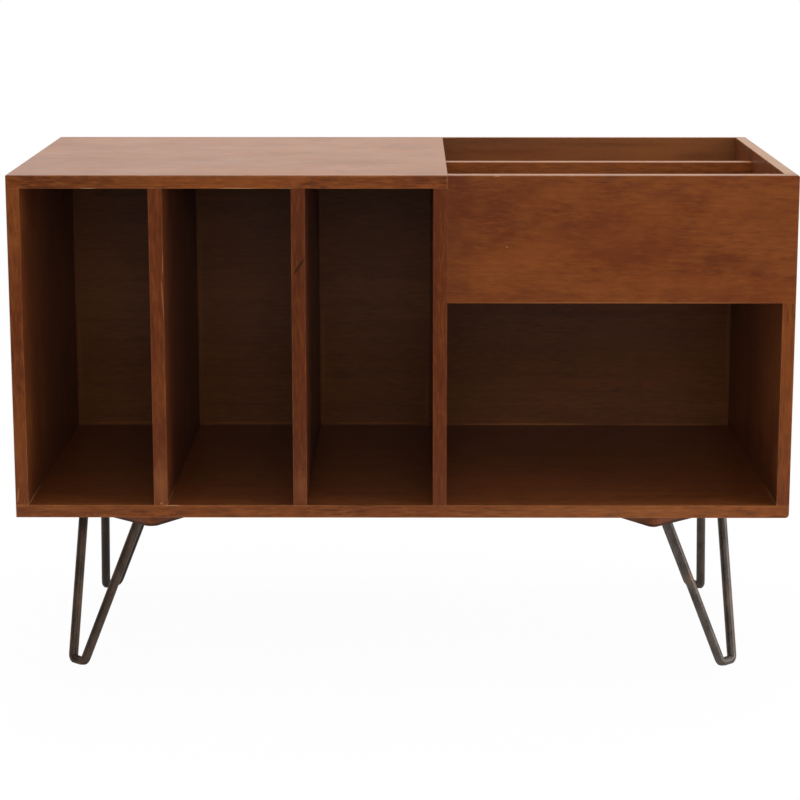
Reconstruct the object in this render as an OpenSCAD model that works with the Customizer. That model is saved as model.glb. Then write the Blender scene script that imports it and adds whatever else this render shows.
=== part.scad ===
// Record storage stand: a stained wooden case on four splayed hairpin legs.
// Left part: a flat top over three upright record slots.
// Right part: an open-topped flip-through bin over an open equipment bay.
// Millimetres. +Z is up, the open front faces -Y, and the origin is on the
// floor under the middle of the case.

/* [Case] */
// Width of the case over both ends
case_w = 1016; // [840:1:1200]
// Depth of the case, front to rear face
case_d = 457; // [430:1:560]
// Height of the case, underside to top face
case_h = 453; // [430:1:560]
// Thickness of the top, bottom and end boards
board_t = 17; // [14:0.5:22]
// Thickness of the back panel
back_t = 10; // [6:0.5:12]
// Rounding of the case's outer edges after sanding
edge_r = 1.2; // [0.6:0.1:2.5]
// Rounding of the lower right corner, seen from the front
low_corner_r = 6; // [2:0.5:12]
// Rounding of the upper right corner, seen from the front
top_corner_r = 3; // [1.5:0.5:8]

/* [Record slots] */
// Clear width of each upright record slot
slot_w = 165; // [130:1:185]
// Thickness of the slot dividers and the centre partition
divider_t = 18; // [14:0.5:22]

/* [Bin and bay] */
// Clear height of the equipment bay under the bin
bay_h = 270; // [240:1:300]
// Thickness of the bin's front panel
bin_front_t = 17; // [14:0.5:22]
// Thickness of the bin's floor
bin_floor_t = 12; // [10:0.5:18]
// Thickness of the bin's divider
bin_divider_t = 18; // [12:0.5:22]
// Clear depth of the bin's front row
bin_row_d = 266; // [200:1:280]
// How far the bin's divider stands below the case's top face
bin_divider_drop = 17; // [5:1:60]
// Rounding of the bin divider's two upper corners
bin_divider_r = 1.5; // [0.5:0.5:8]

/* [Joinery] */
// Depth of the housings that hold the dividers, partition and bin floor
housing_h = 5; // [3:0.5:7]
// Distance that each housing in the case stops short of the front edge
housing_stop = 14; // [8:1:30]
// Distance that the bin divider's housings stop below its top or the top board
bin_housing_stop = 12; // [6:1:30]
// How far the back panel laps onto the boards around it
back_lap = 8; // [7:0.5:11]
// Play of a board in its housing or rabbet, on each side
joint_play = 0.15; // [0.05:0.05:0.3]
// Diameter of the case's dowels
dowel_d = 8; // [6:1:10]
// Diameter of the bin's dowels
bin_dowel_d = 6; // [5:1:8]
// Length of every dowel
dowel_l = 28; // [24:1:34]
// How deep a dowel goes into the face of a board
dowel_face_depth = 11; // [8:0.5:12]
// Dowels in each joint of the case
dowel_count = 4; // [3:1:6]
// Distance from the case's front and rear faces to the nearest dowels
dowel_margin = 55; // [40:1:80]
// Dowels in each joint of the bin's front
bin_dowel_count = 3; // [2:1:5]
// Distance from the ends of the bin's upright joints to the nearest dowels
bin_dowel_margin = 32; // [20:1:50]
// Distance from the bin's walls to the nearest dowels in its floor
floor_dowel_margin = 70; // [40:1:100]
// Play of a dowel or screw in its bore, on the radius
bore_play = 0.05; // [0.03:0.01:0.1]
// Empty space past the end of a dowel or screw in its bore
bore_gap = 1; // [0.5:0.5:2]

/* [Hairpin legs] */
// Height of the case's underside above the floor
leg_h = 221; // [180:1:300]
// Diameter of the bent rod
rod_d = 12.7; // [9.5:0.1:14]
// Distance between the two rods where they meet the plate
rod_spread = 109; // [85:1:150]
// Angle at which the leg leans out towards its corner
splay = 19; // [5:1:24]
// Distance from the foot to the end of the case
foot_in_x = 67.3; // [50:0.1:110]
// Distance from the foot to the front or rear of the case
foot_in_y = 57.8; // [50:0.1:110]
// Angle between the case's front and the line of each front leg's two rods
front_turn = 39; // [35:0.5:50]
// Angle between the case's rear face and the line of each rear leg's two rods
rear_turn = 42.5; // [35:0.5:50]
// Inner radius of the two bends in the foot
foot_bend_r = 1.5; // [1:0.5:6]
// Straight run between the two bends
foot_run = 9.4; // [2:0.1:20]
// How much of the foot is pressed flat underneath
foot_flat = 3; // [1:0.5:4]
// How much the rod thins through the bends, on the radius
bend_thin = 0.1; // [0.05:0.05:0.4]
// How far the weld spreads over the plate around each rod
weld_w = 4; // [2:0.5:6]
// How far the weld runs down each rod
weld_h = 8; // [4:1:12]

/* [Leg plates and blocks] */
// Thickness of the steel plate
plate_t = 3; // [2:0.5:5]
// Distance from each rod's centre to the plate's end
plate_end = 44; // [22:1:50]
// Distance from the rods' centres to the plate's outer edge
plate_edge = 27; // [12:0.5:30]
// Width of the steel plate
plate_w = 70; // [60:1:90]
// Corner radius of the steel plate
plate_r = 5; // [2:0.5:10]
// Thickness of the wooden block above the plate
block_t = 17; // [12:0.5:25]
// How far the block reaches past each end of the plate
block_end = 15; // [2:1:20]
// How far the block reaches past the plate's outer edge
block_edge = 8; // [0:1:12]
// How far the block reaches past the plate's inner edge
block_inner = 14; // [2:1:24]
// Least gap between a front block and the rear block behind it
block_gap = 8; // [2:1:40]
// Corner radius of the blocks at the left end
block_r_left = 14; // [3:1:30]
// Corner radius of the blocks at the right end
block_r_right = 9; // [3:1:30]

/* [Leg screws] */
// Shank diameter
leg_screw_d = 4; // [3:0.5:5]
// Head diameter
leg_screw_head_d = 8.4; // [7:0.2:10]
// Diameter of a pan head's flat face
leg_screw_face_d = 5.8; // [5:0.1:6.6]
// Height of a pan head
leg_screw_head_h = 2.6; // [2:0.1:3.5]
// Depth that the screws reach into the bottom board
leg_screw_bite = 10; // [7:0.5:12]
// Clearance hole in the steel plate
plate_hole_d = 5.2; // [4.6:0.1:7]
// Distance from each rod's centre to the plate screw beside it
rod_screw_gap = 28; // [22:1:34]
// Distance from the plate's inner edge and end to its corner screws
corner_screw_in = 15; // [10:1:20]
// Distance from the leg's middle to each of the block's own screws
block_screw_x = 35; // [20:1:50]
// Distance from the rods' line inwards to the block's own screws
block_screw_y = 28; // [20:1:40]

/* [Back panel screws] */
// Shank diameter
back_screw_d = 3; // [2.5:0.5:4]
// Head diameter
back_screw_head_d = 6; // [5:0.5:6.5]
// Length
back_screw_l = 25; // [20:1:30]
// Distance from the ends of a row to its first and last screws
back_screw_margin = 60; // [40:1:90]
// Screws in each upright row
upright_row_count = 3; // [2:1:6]
// Screws along the bottom board
bottom_row_count = 6; // [2:1:10]
// Screws along the top board
top_row_count = 3; // [2:1:6]
// Screws along the bin's floor
floor_row_count = 2; // [2:1:5]

/* [Hidden] */

// Colours of the stained wood, the steel and the plain dowels
walnut = [0.43, 0.24, 0.13];
walnut_edge = [0.50, 0.29, 0.16];
raw_wood = [0.72, 0.55, 0.36];
gunmetal = [0.27, 0.24, 0.22];
zinc = [0.62, 0.62, 0.60];

$fn = 48;
eps = 0.01;     // overshoot of a cut past the face it opens
arc_steps = 6;  // chords in each rounded corner of an outline

// Faces of the case
x_left = -case_w / 2;
x_right = case_w / 2;
y_front = -case_d / 2;
y_rear = case_d / 2;
y_back = y_rear - back_t;             // inner face of the back panel
z_case = leg_h;
z_top = z_case + case_h;
z_floor = z_case + board_t;           // upper face of the bottom board
z_under = z_top - board_t;            // underside of the top board

// Record slots, counted from the left; the partition follows the last one
slot_count = 3;
function divider_x(i) = x_left + board_t + (i + 1) * slot_w + i * divider_t;
x_partition = divider_x(slot_count - 1);
x_bay = x_partition + divider_t;      // left wall of the bay and the bin
x_bay_end = x_right - board_t;        // right wall of the bay and the bin

// Bin
z_bin = z_floor + bay_h;              // lower edge of the bin's front
z_bin_floor = z_bin + bin_floor_t;
y_bin = y_front + bin_front_t;        // inner face of the bin's front
y_bin_divider = y_bin + bin_row_d;
z_bin_divider = z_top - bin_divider_drop;
z_bin_tongue = min(z_bin_divider, z_under) - bin_housing_stop;

// Legs, in a frame with its origin on the floor under the foot, X along the
// line of the two rods, and +Y pointing inwards, square to that line
rod_r = rod_d / 2;
z_block = z_case - block_t;
z_plate = z_block - plate_t;          // where the rods end
rod_y = z_plate * tan(splay);         // the rods' line at the plate
bent_rod_r = rod_r - bend_thin;
bend_lap = 0.5;                       // how far each rod reaches over the bend's end
bend_r = foot_bend_r + rod_r;         // bend radius at the rod's centre
run_h = (bent_rod_r - foot_flat) / cos(splay);
bend_h = run_h + bend_r;
rise = z_plate / cos(splay) - bend_h; // from the bends' centres to the plate
reach = (rod_spread - foot_run) / 2;
chord = sqrt(pow(reach, 2) + pow(rise, 2));
half_angle = atan2(reach, rise) - asin(bend_r / chord);
rod_len = sqrt(pow(chord, 2) - pow(bend_r, 2));
rod_over = rod_d;                     // rod past the plate's height, before it is cut
weld_lip = 0.4;                       // thickness of the weld at its lower end
weld_flare = (weld_w - weld_lip) / weld_h;

// Plates, blocks and their screws, in the same frame
plate_l = rod_spread + 2 * plate_end;
plate_y = rod_y - plate_edge;         // outer edge of the plate
block_y = plate_y - block_edge;       // outer edge of the block
block_l = plate_l + 2 * block_end;
block_w = block_edge + plate_w + block_inner;
rod_screw_x = rod_spread / 2 - rod_screw_gap;
corner_screw_x = plate_l / 2 - corner_screw_in;
corner_screw_y = plate_y + plate_w - corner_screw_in;
plate_holes = [
    [-rod_screw_x, rod_y], [rod_screw_x, rod_y],
    [-corner_screw_x, corner_screw_y], [corner_screw_x, corner_screw_y]
];
block_holes = [
    [-block_screw_x, rod_y + block_screw_y], [block_screw_x, rod_y + block_screw_y]
];
leg_screw_r = leg_screw_d / 2;
leg_screw_head_r = leg_screw_head_d / 2;
leg_sink = leg_screw_head_r - leg_screw_r;   // depth of the block screws' countersinks

// Screw tips
tip_h = 4;
tip_r = 0.5;

// Rows of dowels
dowel_ys = spread(y_front + dowel_margin, y_rear - dowel_margin, dowel_count);
bin_dowel_zs = spread(z_bin + bin_dowel_margin, z_top - bin_dowel_margin, bin_dowel_count);
floor_dowel_xs = spread(x_bay + floor_dowel_margin, x_bay_end - floor_dowel_margin, bin_dowel_count);

// Back panel's screws, [x, z] of each: along both sides and the partition, then
// along the bottom, the top board and the bin's floor
back_screw_in = back_lap / 2;         // from an opening's edge to the screws beside it
upright_zs = screw_row(z_floor, z_under, upright_row_count);
back_screws_at = concat(
    [for (z = upright_zs) [x_left + board_t - back_screw_in, z]],
    [for (z = upright_zs) [x_right - board_t + back_screw_in, z]],
    [for (z = upright_zs) [x_partition + divider_t / 2, z]],
    [for (x = screw_row(x_left, x_right, bottom_row_count)) [x, z_floor - back_screw_in]],
    [for (x = screw_row(x_left, x_partition, top_row_count)) [x, z_under + back_screw_in]],
    [for (x = screw_row(x_bay, x_bay_end, floor_row_count)) [x, z_bin + bin_floor_t / 2]]
);
back_screw_r = back_screw_d / 2;
back_screw_head_r = back_screw_head_d / 2;
back_sink = back_screw_head_r - back_screw_r;

// ---------------------------------------------------------------- helpers

// n values evenly spaced from a to b
function spread(a, b, n) = [for (i = [0:n - 1]) a + (b - a) * i / (n - 1)];

// Places of n back screws along a board that runs from a to b
function screw_row(a, b, n) = spread(a + back_screw_margin, b - back_screw_margin, n);

// Quarter turn of an outline's corner, centre c, starting at angle a; with no radius, one point
function corner(c, r, a) = r == 0 ? [c] :
    [for (i = [0:arc_steps]) c + r * [cos(a + 90 * i / arc_steps), sin(a + 90 * i / arc_steps)]];

// Rectangle with its own radius at each corner: low left, low right, up right, up left
function outline(lo, hi, r) = concat(
    corner([lo[0] + r[0], lo[1] + r[0]], r[0], 180),
    corner([hi[0] - r[1], lo[1] + r[1]], r[1], 270),
    corner([hi[0] - r[2], hi[1] - r[2]], r[2], 0),
    corner([lo[0] + r[3], hi[1] - r[3]], r[3], 90)
);

// Box between two opposite corners
module box(lo, hi) {
    translate(lo) cube(hi - lo);
}

// The case's sanded outer shape: its front, side and plan outlines together
module case_envelope() {
    intersection() {
        translate([0, y_rear, 0]) rotate([90, 0, 0]) linear_extrude(case_d)
            polygon(outline([x_left, z_case], [x_right, z_top],
                [edge_r, low_corner_r, top_corner_r, edge_r]));
        translate([x_left, 0, 0]) rotate([90, 0, 90]) linear_extrude(case_w)
            polygon(outline([y_front, z_case], [y_rear, z_top], edge_r * [1, 1, 1, 1]));
        translate([0, 0, z_case]) linear_extrude(case_h)
            polygon(outline([x_left, y_front], [x_right, y_rear], edge_r * [1, 1, 1, 1]));
    }
}

// Part of the case: a box trimmed to the sanded outer shape
module case_board(lo, hi) {
    intersection() {
        box(lo, hi);
        case_envelope();
    }
}

// Dowel along +Z whose end is dowel_face_depth below the origin; with play and
// gap it is the bore around that dowel
module dowel(d, play, gap) {
    translate([0, 0, -dowel_face_depth - gap]) cylinder(d = d + 2 * play, h = dowel_l + 2 * gap);
}

// The case's upright dowels: the bottom board to both sides, and the top board
// to the left side and the partition
module case_dowel_set(play = 0, gap = 0) {
    for (y = dowel_ys) {
        for (x = [x_left + board_t / 2, x_right - board_t / 2])
            translate([x, y, z_floor]) dowel(dowel_d, play, gap);
        for (x = [x_left + board_t / 2, x_partition + divider_t / 2])
            translate([x, y, z_under]) rotate([180, 0, 0]) dowel(dowel_d, play, gap);
    }
}

// The bin's level dowels: its front to the right side, the partition and the floor
module bin_dowel_set(play = 0, gap = 0) {
    for (z = bin_dowel_zs) {
        translate([x_right - board_t / 2, y_bin, z]) rotate([-90, 0, 0])
            dowel(bin_dowel_d, play, gap);
        translate([x_bay, y_front + bin_front_t / 2, z]) rotate([0, 90, 0])
            dowel(bin_dowel_d, play, gap);
    }
    for (x = floor_dowel_xs)
        translate([x, y_bin, z_bin + bin_floor_t / 2]) rotate([-90, 0, 0])
            dowel(bin_dowel_d, play, gap);
}

// Bores for both sets of dowels and for the back panel's screws
module joint_bores() {
    case_dowel_set(bore_play, bore_gap);
    bin_dowel_set(bore_play, bore_gap);
    at_back_screws() back_screw_bore();
}

// Puts something at each of the back panel's screws, with +Z pointing forwards
module at_back_screws() {
    for (p = back_screws_at) translate([p[0], y_rear, p[1]]) rotate([90, 0, 0]) children();
}

module back_screw_bore() {
    r = back_screw_r + bore_play;
    translate([0, 0, -eps]) cylinder(r = r, h = back_screw_l + bore_gap + eps);
    translate([0, 0, -eps]) cylinder(r1 = r + back_sink + eps, r2 = r, h = back_sink + eps);
}

// Screw's shank along +Z, with its tip
module screw_shank(r, l) {
    cylinder(r = r, h = l - tip_h);
    translate([0, 0, l - tip_h]) cylinder(r1 = r, r2 = tip_r, h = tip_h);
}

// Room for a board in a housing: the board's box, with play along the axes marked 1
module housing(lo, hi, axes) {
    box(lo - joint_play * axes, hi + joint_play * axes);
}

// ------------------------------------------------------------------ case

// Ends of the tongue that an upright board has below or above its shoulders
function tongue_lo(x, z) = [x, y_front + housing_stop, z];
function tongue_hi(x, z) = [x + divider_t, y_back, z];

module top_board() {
    color(walnut)
    difference() {
        case_board([x_left, y_front, z_under], [x_bay, y_rear, z_top + eps]);
        for (i = [0:slot_count - 2])
            housing(tongue_lo(divider_x(i), z_under - eps),
                tongue_hi(divider_x(i), z_under + housing_h), [1, 1, 0]);
        box([x_left + board_t - back_lap, y_back - joint_play, z_under - eps],
            [x_bay + eps, y_rear + eps, z_under + back_lap]);
        joint_bores();
    }
}

module bottom_board() {
    color(walnut)
    difference() {
        case_board([x_left, y_front, z_case - eps], [x_right, y_rear, z_floor]);
        for (i = [0:slot_count - 1])
            housing(tongue_lo(divider_x(i), z_floor - housing_h),
                tongue_hi(divider_x(i), z_floor + eps), [1, 1, 0]);
        box([x_left + board_t - back_lap, y_back - joint_play, z_floor - back_lap],
            [x_right - board_t + back_lap, y_rear + eps, z_floor + eps]);
        joint_bores();
        for (end = [-1, 1], side = [-1, 1]) at_corner(end, side) leg_pilots();
    }
}

module left_side() {
    color(walnut)
    difference() {
        case_board([x_left, y_front, z_floor], [x_left + board_t, y_rear, z_under]);
        box([x_left + board_t - back_lap, y_back - joint_play, z_floor - eps],
            [x_left + board_t + eps, y_rear + eps, z_under + eps]);
        joint_bores();
    }
}

module right_side() {
    color(walnut)
    difference() {
        case_board([x_bay_end, y_front, z_floor], [x_right, y_rear, z_top]);
        // Notch that the bin's front laps over
        box([x_bay_end - eps, y_front - eps, z_bin], [x_right + eps, y_bin, z_top + eps]);
        box([x_bay_end - eps, y_back - joint_play, z_floor - eps],
            [x_bay_end + back_lap, y_rear + eps, z_top + eps]);
        housing([x_bay_end - eps, y_bin, z_bin],
            [x_bay_end + housing_h, y_back, z_bin_floor], [0, 0, 1]);
        housing([x_bay_end - eps, y_bin_divider, z_bin_floor],
            [x_bay_end + housing_h, y_bin_divider + bin_divider_t, z_bin_tongue], [0, 1, 1]);
        joint_bores();
    }
}

// Upright board between two slots, with a tongue at each housed end
module record_divider(i) {
    x = divider_x(i);
    color(walnut)
    union() {
        box([x, y_front, z_floor], [x + divider_t, y_back, z_under]);
        box(tongue_lo(x, z_floor - housing_h), tongue_hi(x, z_floor));
        box(tongue_lo(x, z_under), tongue_hi(x, z_under + housing_h));
    }
}

module record_divider_left() { record_divider(0); }
module record_divider_right() { record_divider(1); }

module centre_partition() {
    color(walnut)
    difference() {
        union() {
            box([x_partition, y_front, z_floor], [x_bay, y_back, z_under]);
            box(tongue_lo(x_partition, z_floor - housing_h), tongue_hi(x_partition, z_floor));
        }
        housing([x_bay - housing_h, y_bin, z_bin],
            [x_bay + eps, y_back + eps, z_bin_floor], [0, 0, 1]);
        housing([x_bay - housing_h, y_bin_divider, z_bin_floor],
            [x_bay + eps, y_bin_divider + bin_divider_t, z_bin_tongue], [0, 1, 1]);
        joint_bores();
    }
}

// Stepped panel: under the top board on the left, up to the rim on the right
module back_panel() {
    lap = back_lap - joint_play;
    color(walnut)
    difference() {
        intersection() {
            union() {
                box([x_left + board_t - lap, y_back, z_floor - lap],
                    [x_right - board_t + lap, y_rear, z_under + lap]);
                box([x_bay + joint_play, y_back, z_under + lap - eps],
                    [x_right - board_t + lap, y_rear, z_top]);
            }
            case_envelope();
        }
        joint_bores();
    }
}

// ------------------------------------------------------------------- bin

module bin_front() {
    color(walnut)
    difference() {
        case_board([x_bay, y_front, z_bin], [x_right, y_bin, z_top]);
        joint_bores();
    }
}

module bin_floor() {
    color(walnut)
    difference() {
        box([x_bay - housing_h, y_bin, z_bin], [x_bay_end + housing_h, y_back, z_bin_floor]);
        joint_bores();
    }
}

// Divider parallel to the front, with a tongue at each end below its rounded corners
module bin_divider() {
    y_rear_face = y_bin_divider + bin_divider_t;
    color(walnut)
    union() {
        translate([0, y_rear_face, 0]) rotate([90, 0, 0]) linear_extrude(bin_divider_t)
            polygon(outline([x_bay, z_bin_floor], [x_bay_end, z_bin_divider],
                [0, 0, bin_divider_r, bin_divider_r]));
        box([x_bay - housing_h, y_bin_divider, z_bin_floor],
            [x_bay_end + housing_h, y_rear_face, z_bin_tongue]);
    }
}

// ------------------------------------------------------------------ legs

// Puts a front left leg's parts at one corner: end -1 left, 1 right; side -1 front, 1 rear
module at_corner(end, side) {
    mirror([end > 0 ? 1 : 0, 0, 0]) mirror([0, side > 0 ? 1 : 0, 0])
        translate([x_left + foot_in_x, y_front + foot_in_y, 0])
            rotate([0, 0, side > 0 ? -rear_turn : -front_turn])
                children();
}

// Flat piece with rounded corners, its outer edge at y
module leg_slab(y, l, w, t, r) {
    linear_extrude(t) polygon(outline([-l / 2, y], [l / 2, y + w], r * [1, 1, 1, 1]));
}

// Bores in the bottom board for the screws from below
module leg_pilots() {
    for (p = concat(plate_holes, block_holes))
        translate([p[0], p[1], z_case - eps])
            cylinder(r = leg_screw_r + bore_play, h = leg_screw_bite + bore_gap + eps);
}

// Block above the plate; the front and rear ones are trimmed where they come too near
module leg_block(end, side) {
    color(walnut_edge)
    intersection() {
        whole_leg_block(end, side);
        box([x_left, side < 0 ? y_front : block_gap / 2, z_block],
            [x_right, side < 0 ? -block_gap / 2 : y_rear, z_case]);
    }
}

module whole_leg_block(end, side) {
    at_corner(end, side)
    difference() {
        translate([0, 0, z_block])
            leg_slab(block_y, block_l, block_w, block_t, end > 0 ? block_r_right : block_r_left);
        for (p = concat(plate_holes, block_holes))
            translate([p[0], p[1], z_block - eps])
                cylinder(r = leg_screw_r + bore_play, h = block_t + 2 * eps);
        for (p = block_holes)
            translate([p[0], p[1], z_block - eps])
                cylinder(r1 = leg_screw_head_r + bore_play + eps, r2 = leg_screw_r + bore_play,
                    h = leg_sink + eps);
    }
}

module leg_plate(end, side) {
    color(gunmetal)
    at_corner(end, side)
    difference() {
        translate([0, 0, z_plate]) leg_slab(plate_y, plate_l, plate_w, plate_t, plate_r);
        for (p = plate_holes)
            translate([p[0], p[1], z_plate - eps]) cylinder(d = plate_hole_d, h = plate_t + 2 * eps);
    }
}

// Half of the bent rod in its own upright plane, from the foot's middle up
module half_rod() {
    translate([0, 0, run_h]) rotate([0, 90, 0]) cylinder(r = bent_rod_r, h = foot_run / 2);
    translate([foot_run / 2, 0, bend_h]) rotate([90, 0, 0]) rotate([0, 0, -90])
        rotate_extrude(angle = 90 - half_angle) translate([bend_r, 0]) circle(r = bent_rod_r);
    translate([foot_run / 2, 0, bend_h]) rotate([0, half_angle, 0]) translate([bend_r, 0, 0]) {
        translate([0, 0, -bend_lap]) cylinder(d = rod_d, h = rod_len + rod_over + bend_lap);
        translate([0, 0, rod_len - weld_h])
            cylinder(r1 = rod_r + weld_lip, r2 = rod_r + weld_w + weld_flare * rod_over,
                h = weld_h + rod_over);
    }
}

// Two rods and the foot that joins them, cut off at the plate and pressed flat at the floor
module hairpin_rod(end, side) {
    color(gunmetal)
    at_corner(end, side)
    intersection() {
        rotate([-splay, 0, 0]) union() {
            half_rod();
            mirror([1, 0, 0]) half_rod();
        }
        box([-rod_spread, -rod_spread, 0], [rod_spread, rod_spread, z_plate]);
    }
}

module leg_block_front_left() { leg_block(-1, -1); }
module leg_block_front_right() { leg_block(1, -1); }
module leg_block_rear_left() { leg_block(-1, 1); }
module leg_block_rear_right() { leg_block(1, 1); }

module leg_plate_front_left() { leg_plate(-1, -1); }
module leg_plate_front_right() { leg_plate(1, -1); }
module leg_plate_rear_left() { leg_plate(-1, 1); }
module leg_plate_rear_right() { leg_plate(1, 1); }

module hairpin_rod_front_left() { hairpin_rod(-1, -1); }
module hairpin_rod_front_right() { hairpin_rod(1, -1); }
module hairpin_rod_rear_left() { hairpin_rod(-1, 1); }
module hairpin_rod_rear_right() { hairpin_rod(1, 1); }

// ------------------------------------------------------------- fasteners

module case_dowels() {
    color(raw_wood) case_dowel_set();
}

module bin_dowels() {
    color(raw_wood) bin_dowel_set();
}

// Shank of a leg screw that starts at height z and ends in the bottom board
module leg_screw_shank(z) {
    translate([0, 0, z]) screw_shank(leg_screw_r, z_case + leg_screw_bite - z);
}

// Pan head screws through plate and block into the bottom board
module plate_screws() {
    color(zinc)
    for (end = [-1, 1], side = [-1, 1]) at_corner(end, side)
        for (p = plate_holes) translate([p[0], p[1], 0]) {
            leg_screw_shank(z_plate);
            translate([0, 0, z_plate - leg_screw_head_h])
                cylinder(d1 = leg_screw_face_d, d2 = leg_screw_head_d, h = leg_screw_head_h);
        }
}

// Countersunk screws from the block, under the plate, into the bottom board
module block_screws() {
    color(zinc)
    for (end = [-1, 1], side = [-1, 1]) at_corner(end, side)
        for (p = block_holes) translate([p[0], p[1], 0]) {
            leg_screw_shank(z_block);
            translate([0, 0, z_block])
                cylinder(r1 = leg_screw_head_r, r2 = leg_screw_r, h = leg_sink);
        }
}

// Countersunk screws through the back panel into the boards in front of it
module back_screws() {
    color(zinc)
    at_back_screws() {
        screw_shank(back_screw_r, back_screw_l);
        cylinder(r1 = back_screw_head_r, r2 = back_screw_r, h = back_sink);
    }
}

// ---------------------------------------------------------------- drawing

top_board();
bottom_board();
left_side();
right_side();
centre_partition();
record_divider_left();
record_divider_right();
back_panel();
bin_front();
bin_floor();
bin_divider();
leg_block_front_left();
leg_block_front_right();
leg_block_rear_left();
leg_block_rear_right();
leg_plate_front_left();
leg_plate_front_right();
leg_plate_rear_left();
leg_plate_rear_right();
hairpin_rod_front_left();
hairpin_rod_front_right();
hairpin_rod_rear_left();
hairpin_rod_rear_right();
case_dowels();
bin_dowels();
plate_screws();
block_screws();
back_screws();
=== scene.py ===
import math
from functools import cache, partial
from typing import NamedTuple

import bmesh
import bpy
from bpy.props import (
    BoolProperty,
    FloatProperty,
    FloatVectorProperty,
    IntProperty,
    PointerProperty,
)
from mathutils import Matrix, Vector


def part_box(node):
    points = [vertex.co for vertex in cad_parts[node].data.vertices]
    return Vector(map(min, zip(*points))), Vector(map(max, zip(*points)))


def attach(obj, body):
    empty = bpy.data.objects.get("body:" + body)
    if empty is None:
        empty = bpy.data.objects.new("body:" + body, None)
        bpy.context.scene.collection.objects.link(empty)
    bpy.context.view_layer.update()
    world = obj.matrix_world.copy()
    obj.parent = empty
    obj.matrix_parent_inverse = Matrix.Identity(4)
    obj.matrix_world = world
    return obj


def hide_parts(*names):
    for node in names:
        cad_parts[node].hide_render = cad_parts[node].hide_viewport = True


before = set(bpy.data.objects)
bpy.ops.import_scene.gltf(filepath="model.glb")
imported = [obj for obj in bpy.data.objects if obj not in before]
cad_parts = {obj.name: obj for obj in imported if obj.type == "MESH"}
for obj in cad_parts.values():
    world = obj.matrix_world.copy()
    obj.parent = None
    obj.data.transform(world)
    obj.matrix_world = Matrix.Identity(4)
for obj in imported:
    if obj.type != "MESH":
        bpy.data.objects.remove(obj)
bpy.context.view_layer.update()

bl_info = {
    "name": "Record storage stand",
    "version": (1, 0, 0),
    "blender": (4, 5, 0),
    "location": "View3D > Sidebar > Record stand",
    "description": "Builds the looks of a stained record stand on hairpin legs round its packed model",
    "category": "Object",
}

# Planes of the case, read from the packed model, in metres
LEFT_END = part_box("top_board")[0].x
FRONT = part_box("bin_front")[0].y
UNDERSIDE, FLOOR_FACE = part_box("bottom_board")[0].z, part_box("bottom_board")[1].z
TOP_UNDER, TOP_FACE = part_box("top_board")[0].z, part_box("top_board")[1].z
BACK_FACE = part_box("back_panel")[0].y
BAY_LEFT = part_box("bin_front")[0].x
BIN_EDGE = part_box("bin_front")[0].z
BIN_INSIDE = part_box("bin_front")[1].y

# Which end and which side of the case each leg stands at
CORNERS = {"front_left": (-1, -1), "front_right": (1, -1), "rear_left": (-1, 1), "rear_right": (1, 1)}


def tone(red, green, blue):
    """Linear colour of a shade that is named as 0 to 255 on a screen."""
    def linear(value):
        value /= 255
        return value / 12.92 if value <= 0.04045 else ((value + 0.055) / 1.055) ** 2.4
    return (linear(red), linear(green), linear(blue))


# ---- settings

ColourProperty = partial(FloatVectorProperty, subtype="COLOR", min=0, max=1)
ShareProperty = partial(FloatProperty, subtype="FACTOR", min=0, max=1)
LengthProperty = partial(FloatProperty, subtype="DISTANCE", unit="LENGTH")
AngleProperty = partial(FloatProperty, subtype="ANGLE", unit="ROTATION")
PowerProperty = partial(FloatProperty, subtype="POWER", unit="POWER", min=0)


class StainSettings(bpy.types.PropertyGroup):
    """Colours and gloss of the stained and lacquered wood"""

    golden: ColourProperty(
        name="Golden clouds", description="Where the wood took least stain",
        default=tone(131, 69, 25))
    reddish: ColourProperty(
        name="Reddish clouds", description="Where the wood took more stain",
        default=tone(104, 45, 14))
    streak: ColourProperty(
        name="Dark streaks", description="Late wood that runs along the board",
        default=tone(78, 35, 12))
    # The flecks colour also paints the shadow line along the foot of each leg block
    pore: ColourProperty(
        name="Flecks", description="Stain held in the short open pores", default=tone(58, 28, 10))
    glint: ColourProperty(
        name="Bright fibres", description="Short fibres that lie open to the light",
        default=tone(150, 88, 38))
    # The rubbed colour also paints light on faces inside the bin and on the bottom board's right front
    rubbed: ColourProperty(
        name="Rubbed edges", description="Edges where the stain was sanded thin",
        default=tone(158, 96, 50))
    # The nicks colour also paints highlights over the top faces of the rim, the bin front and the bin
    # divider
    bare: ColourProperty(
        name="Nicks", description="Bare wood in small chips and sanded lines",
        default=tone(196, 146, 98))
    roughness: ShareProperty(
        name="Roughness", description="Roughness of the satin lacquer", default=0.34)
    mirror: ShareProperty(
        name="Mirror", description="How strongly the lacquer shines where it is seen square on",
        default=0.15)
    haze: ShareProperty(
        name="Haze", description="Dusty bloom of the lacquer where it is seen at a slant",
        default=0.01)
    coat: ShareProperty(
        name="Coat", description="How much clear lacquer lies over the stain", default=0.06)


class EdgeSettings(bpy.types.PropertyGroup):
    """How far the boards' square edges were eased by hand"""

    free: LengthProperty(
        name="Free edges", description="Easing of an edge that stands open",
        min=0.0001, max=0.003, default=0.0006)
    joint: LengthProperty(
        name="Joints", description="Easing of an edge that meets another board flush",
        min=0.00005, max=0.001, default=0.0001)


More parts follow.
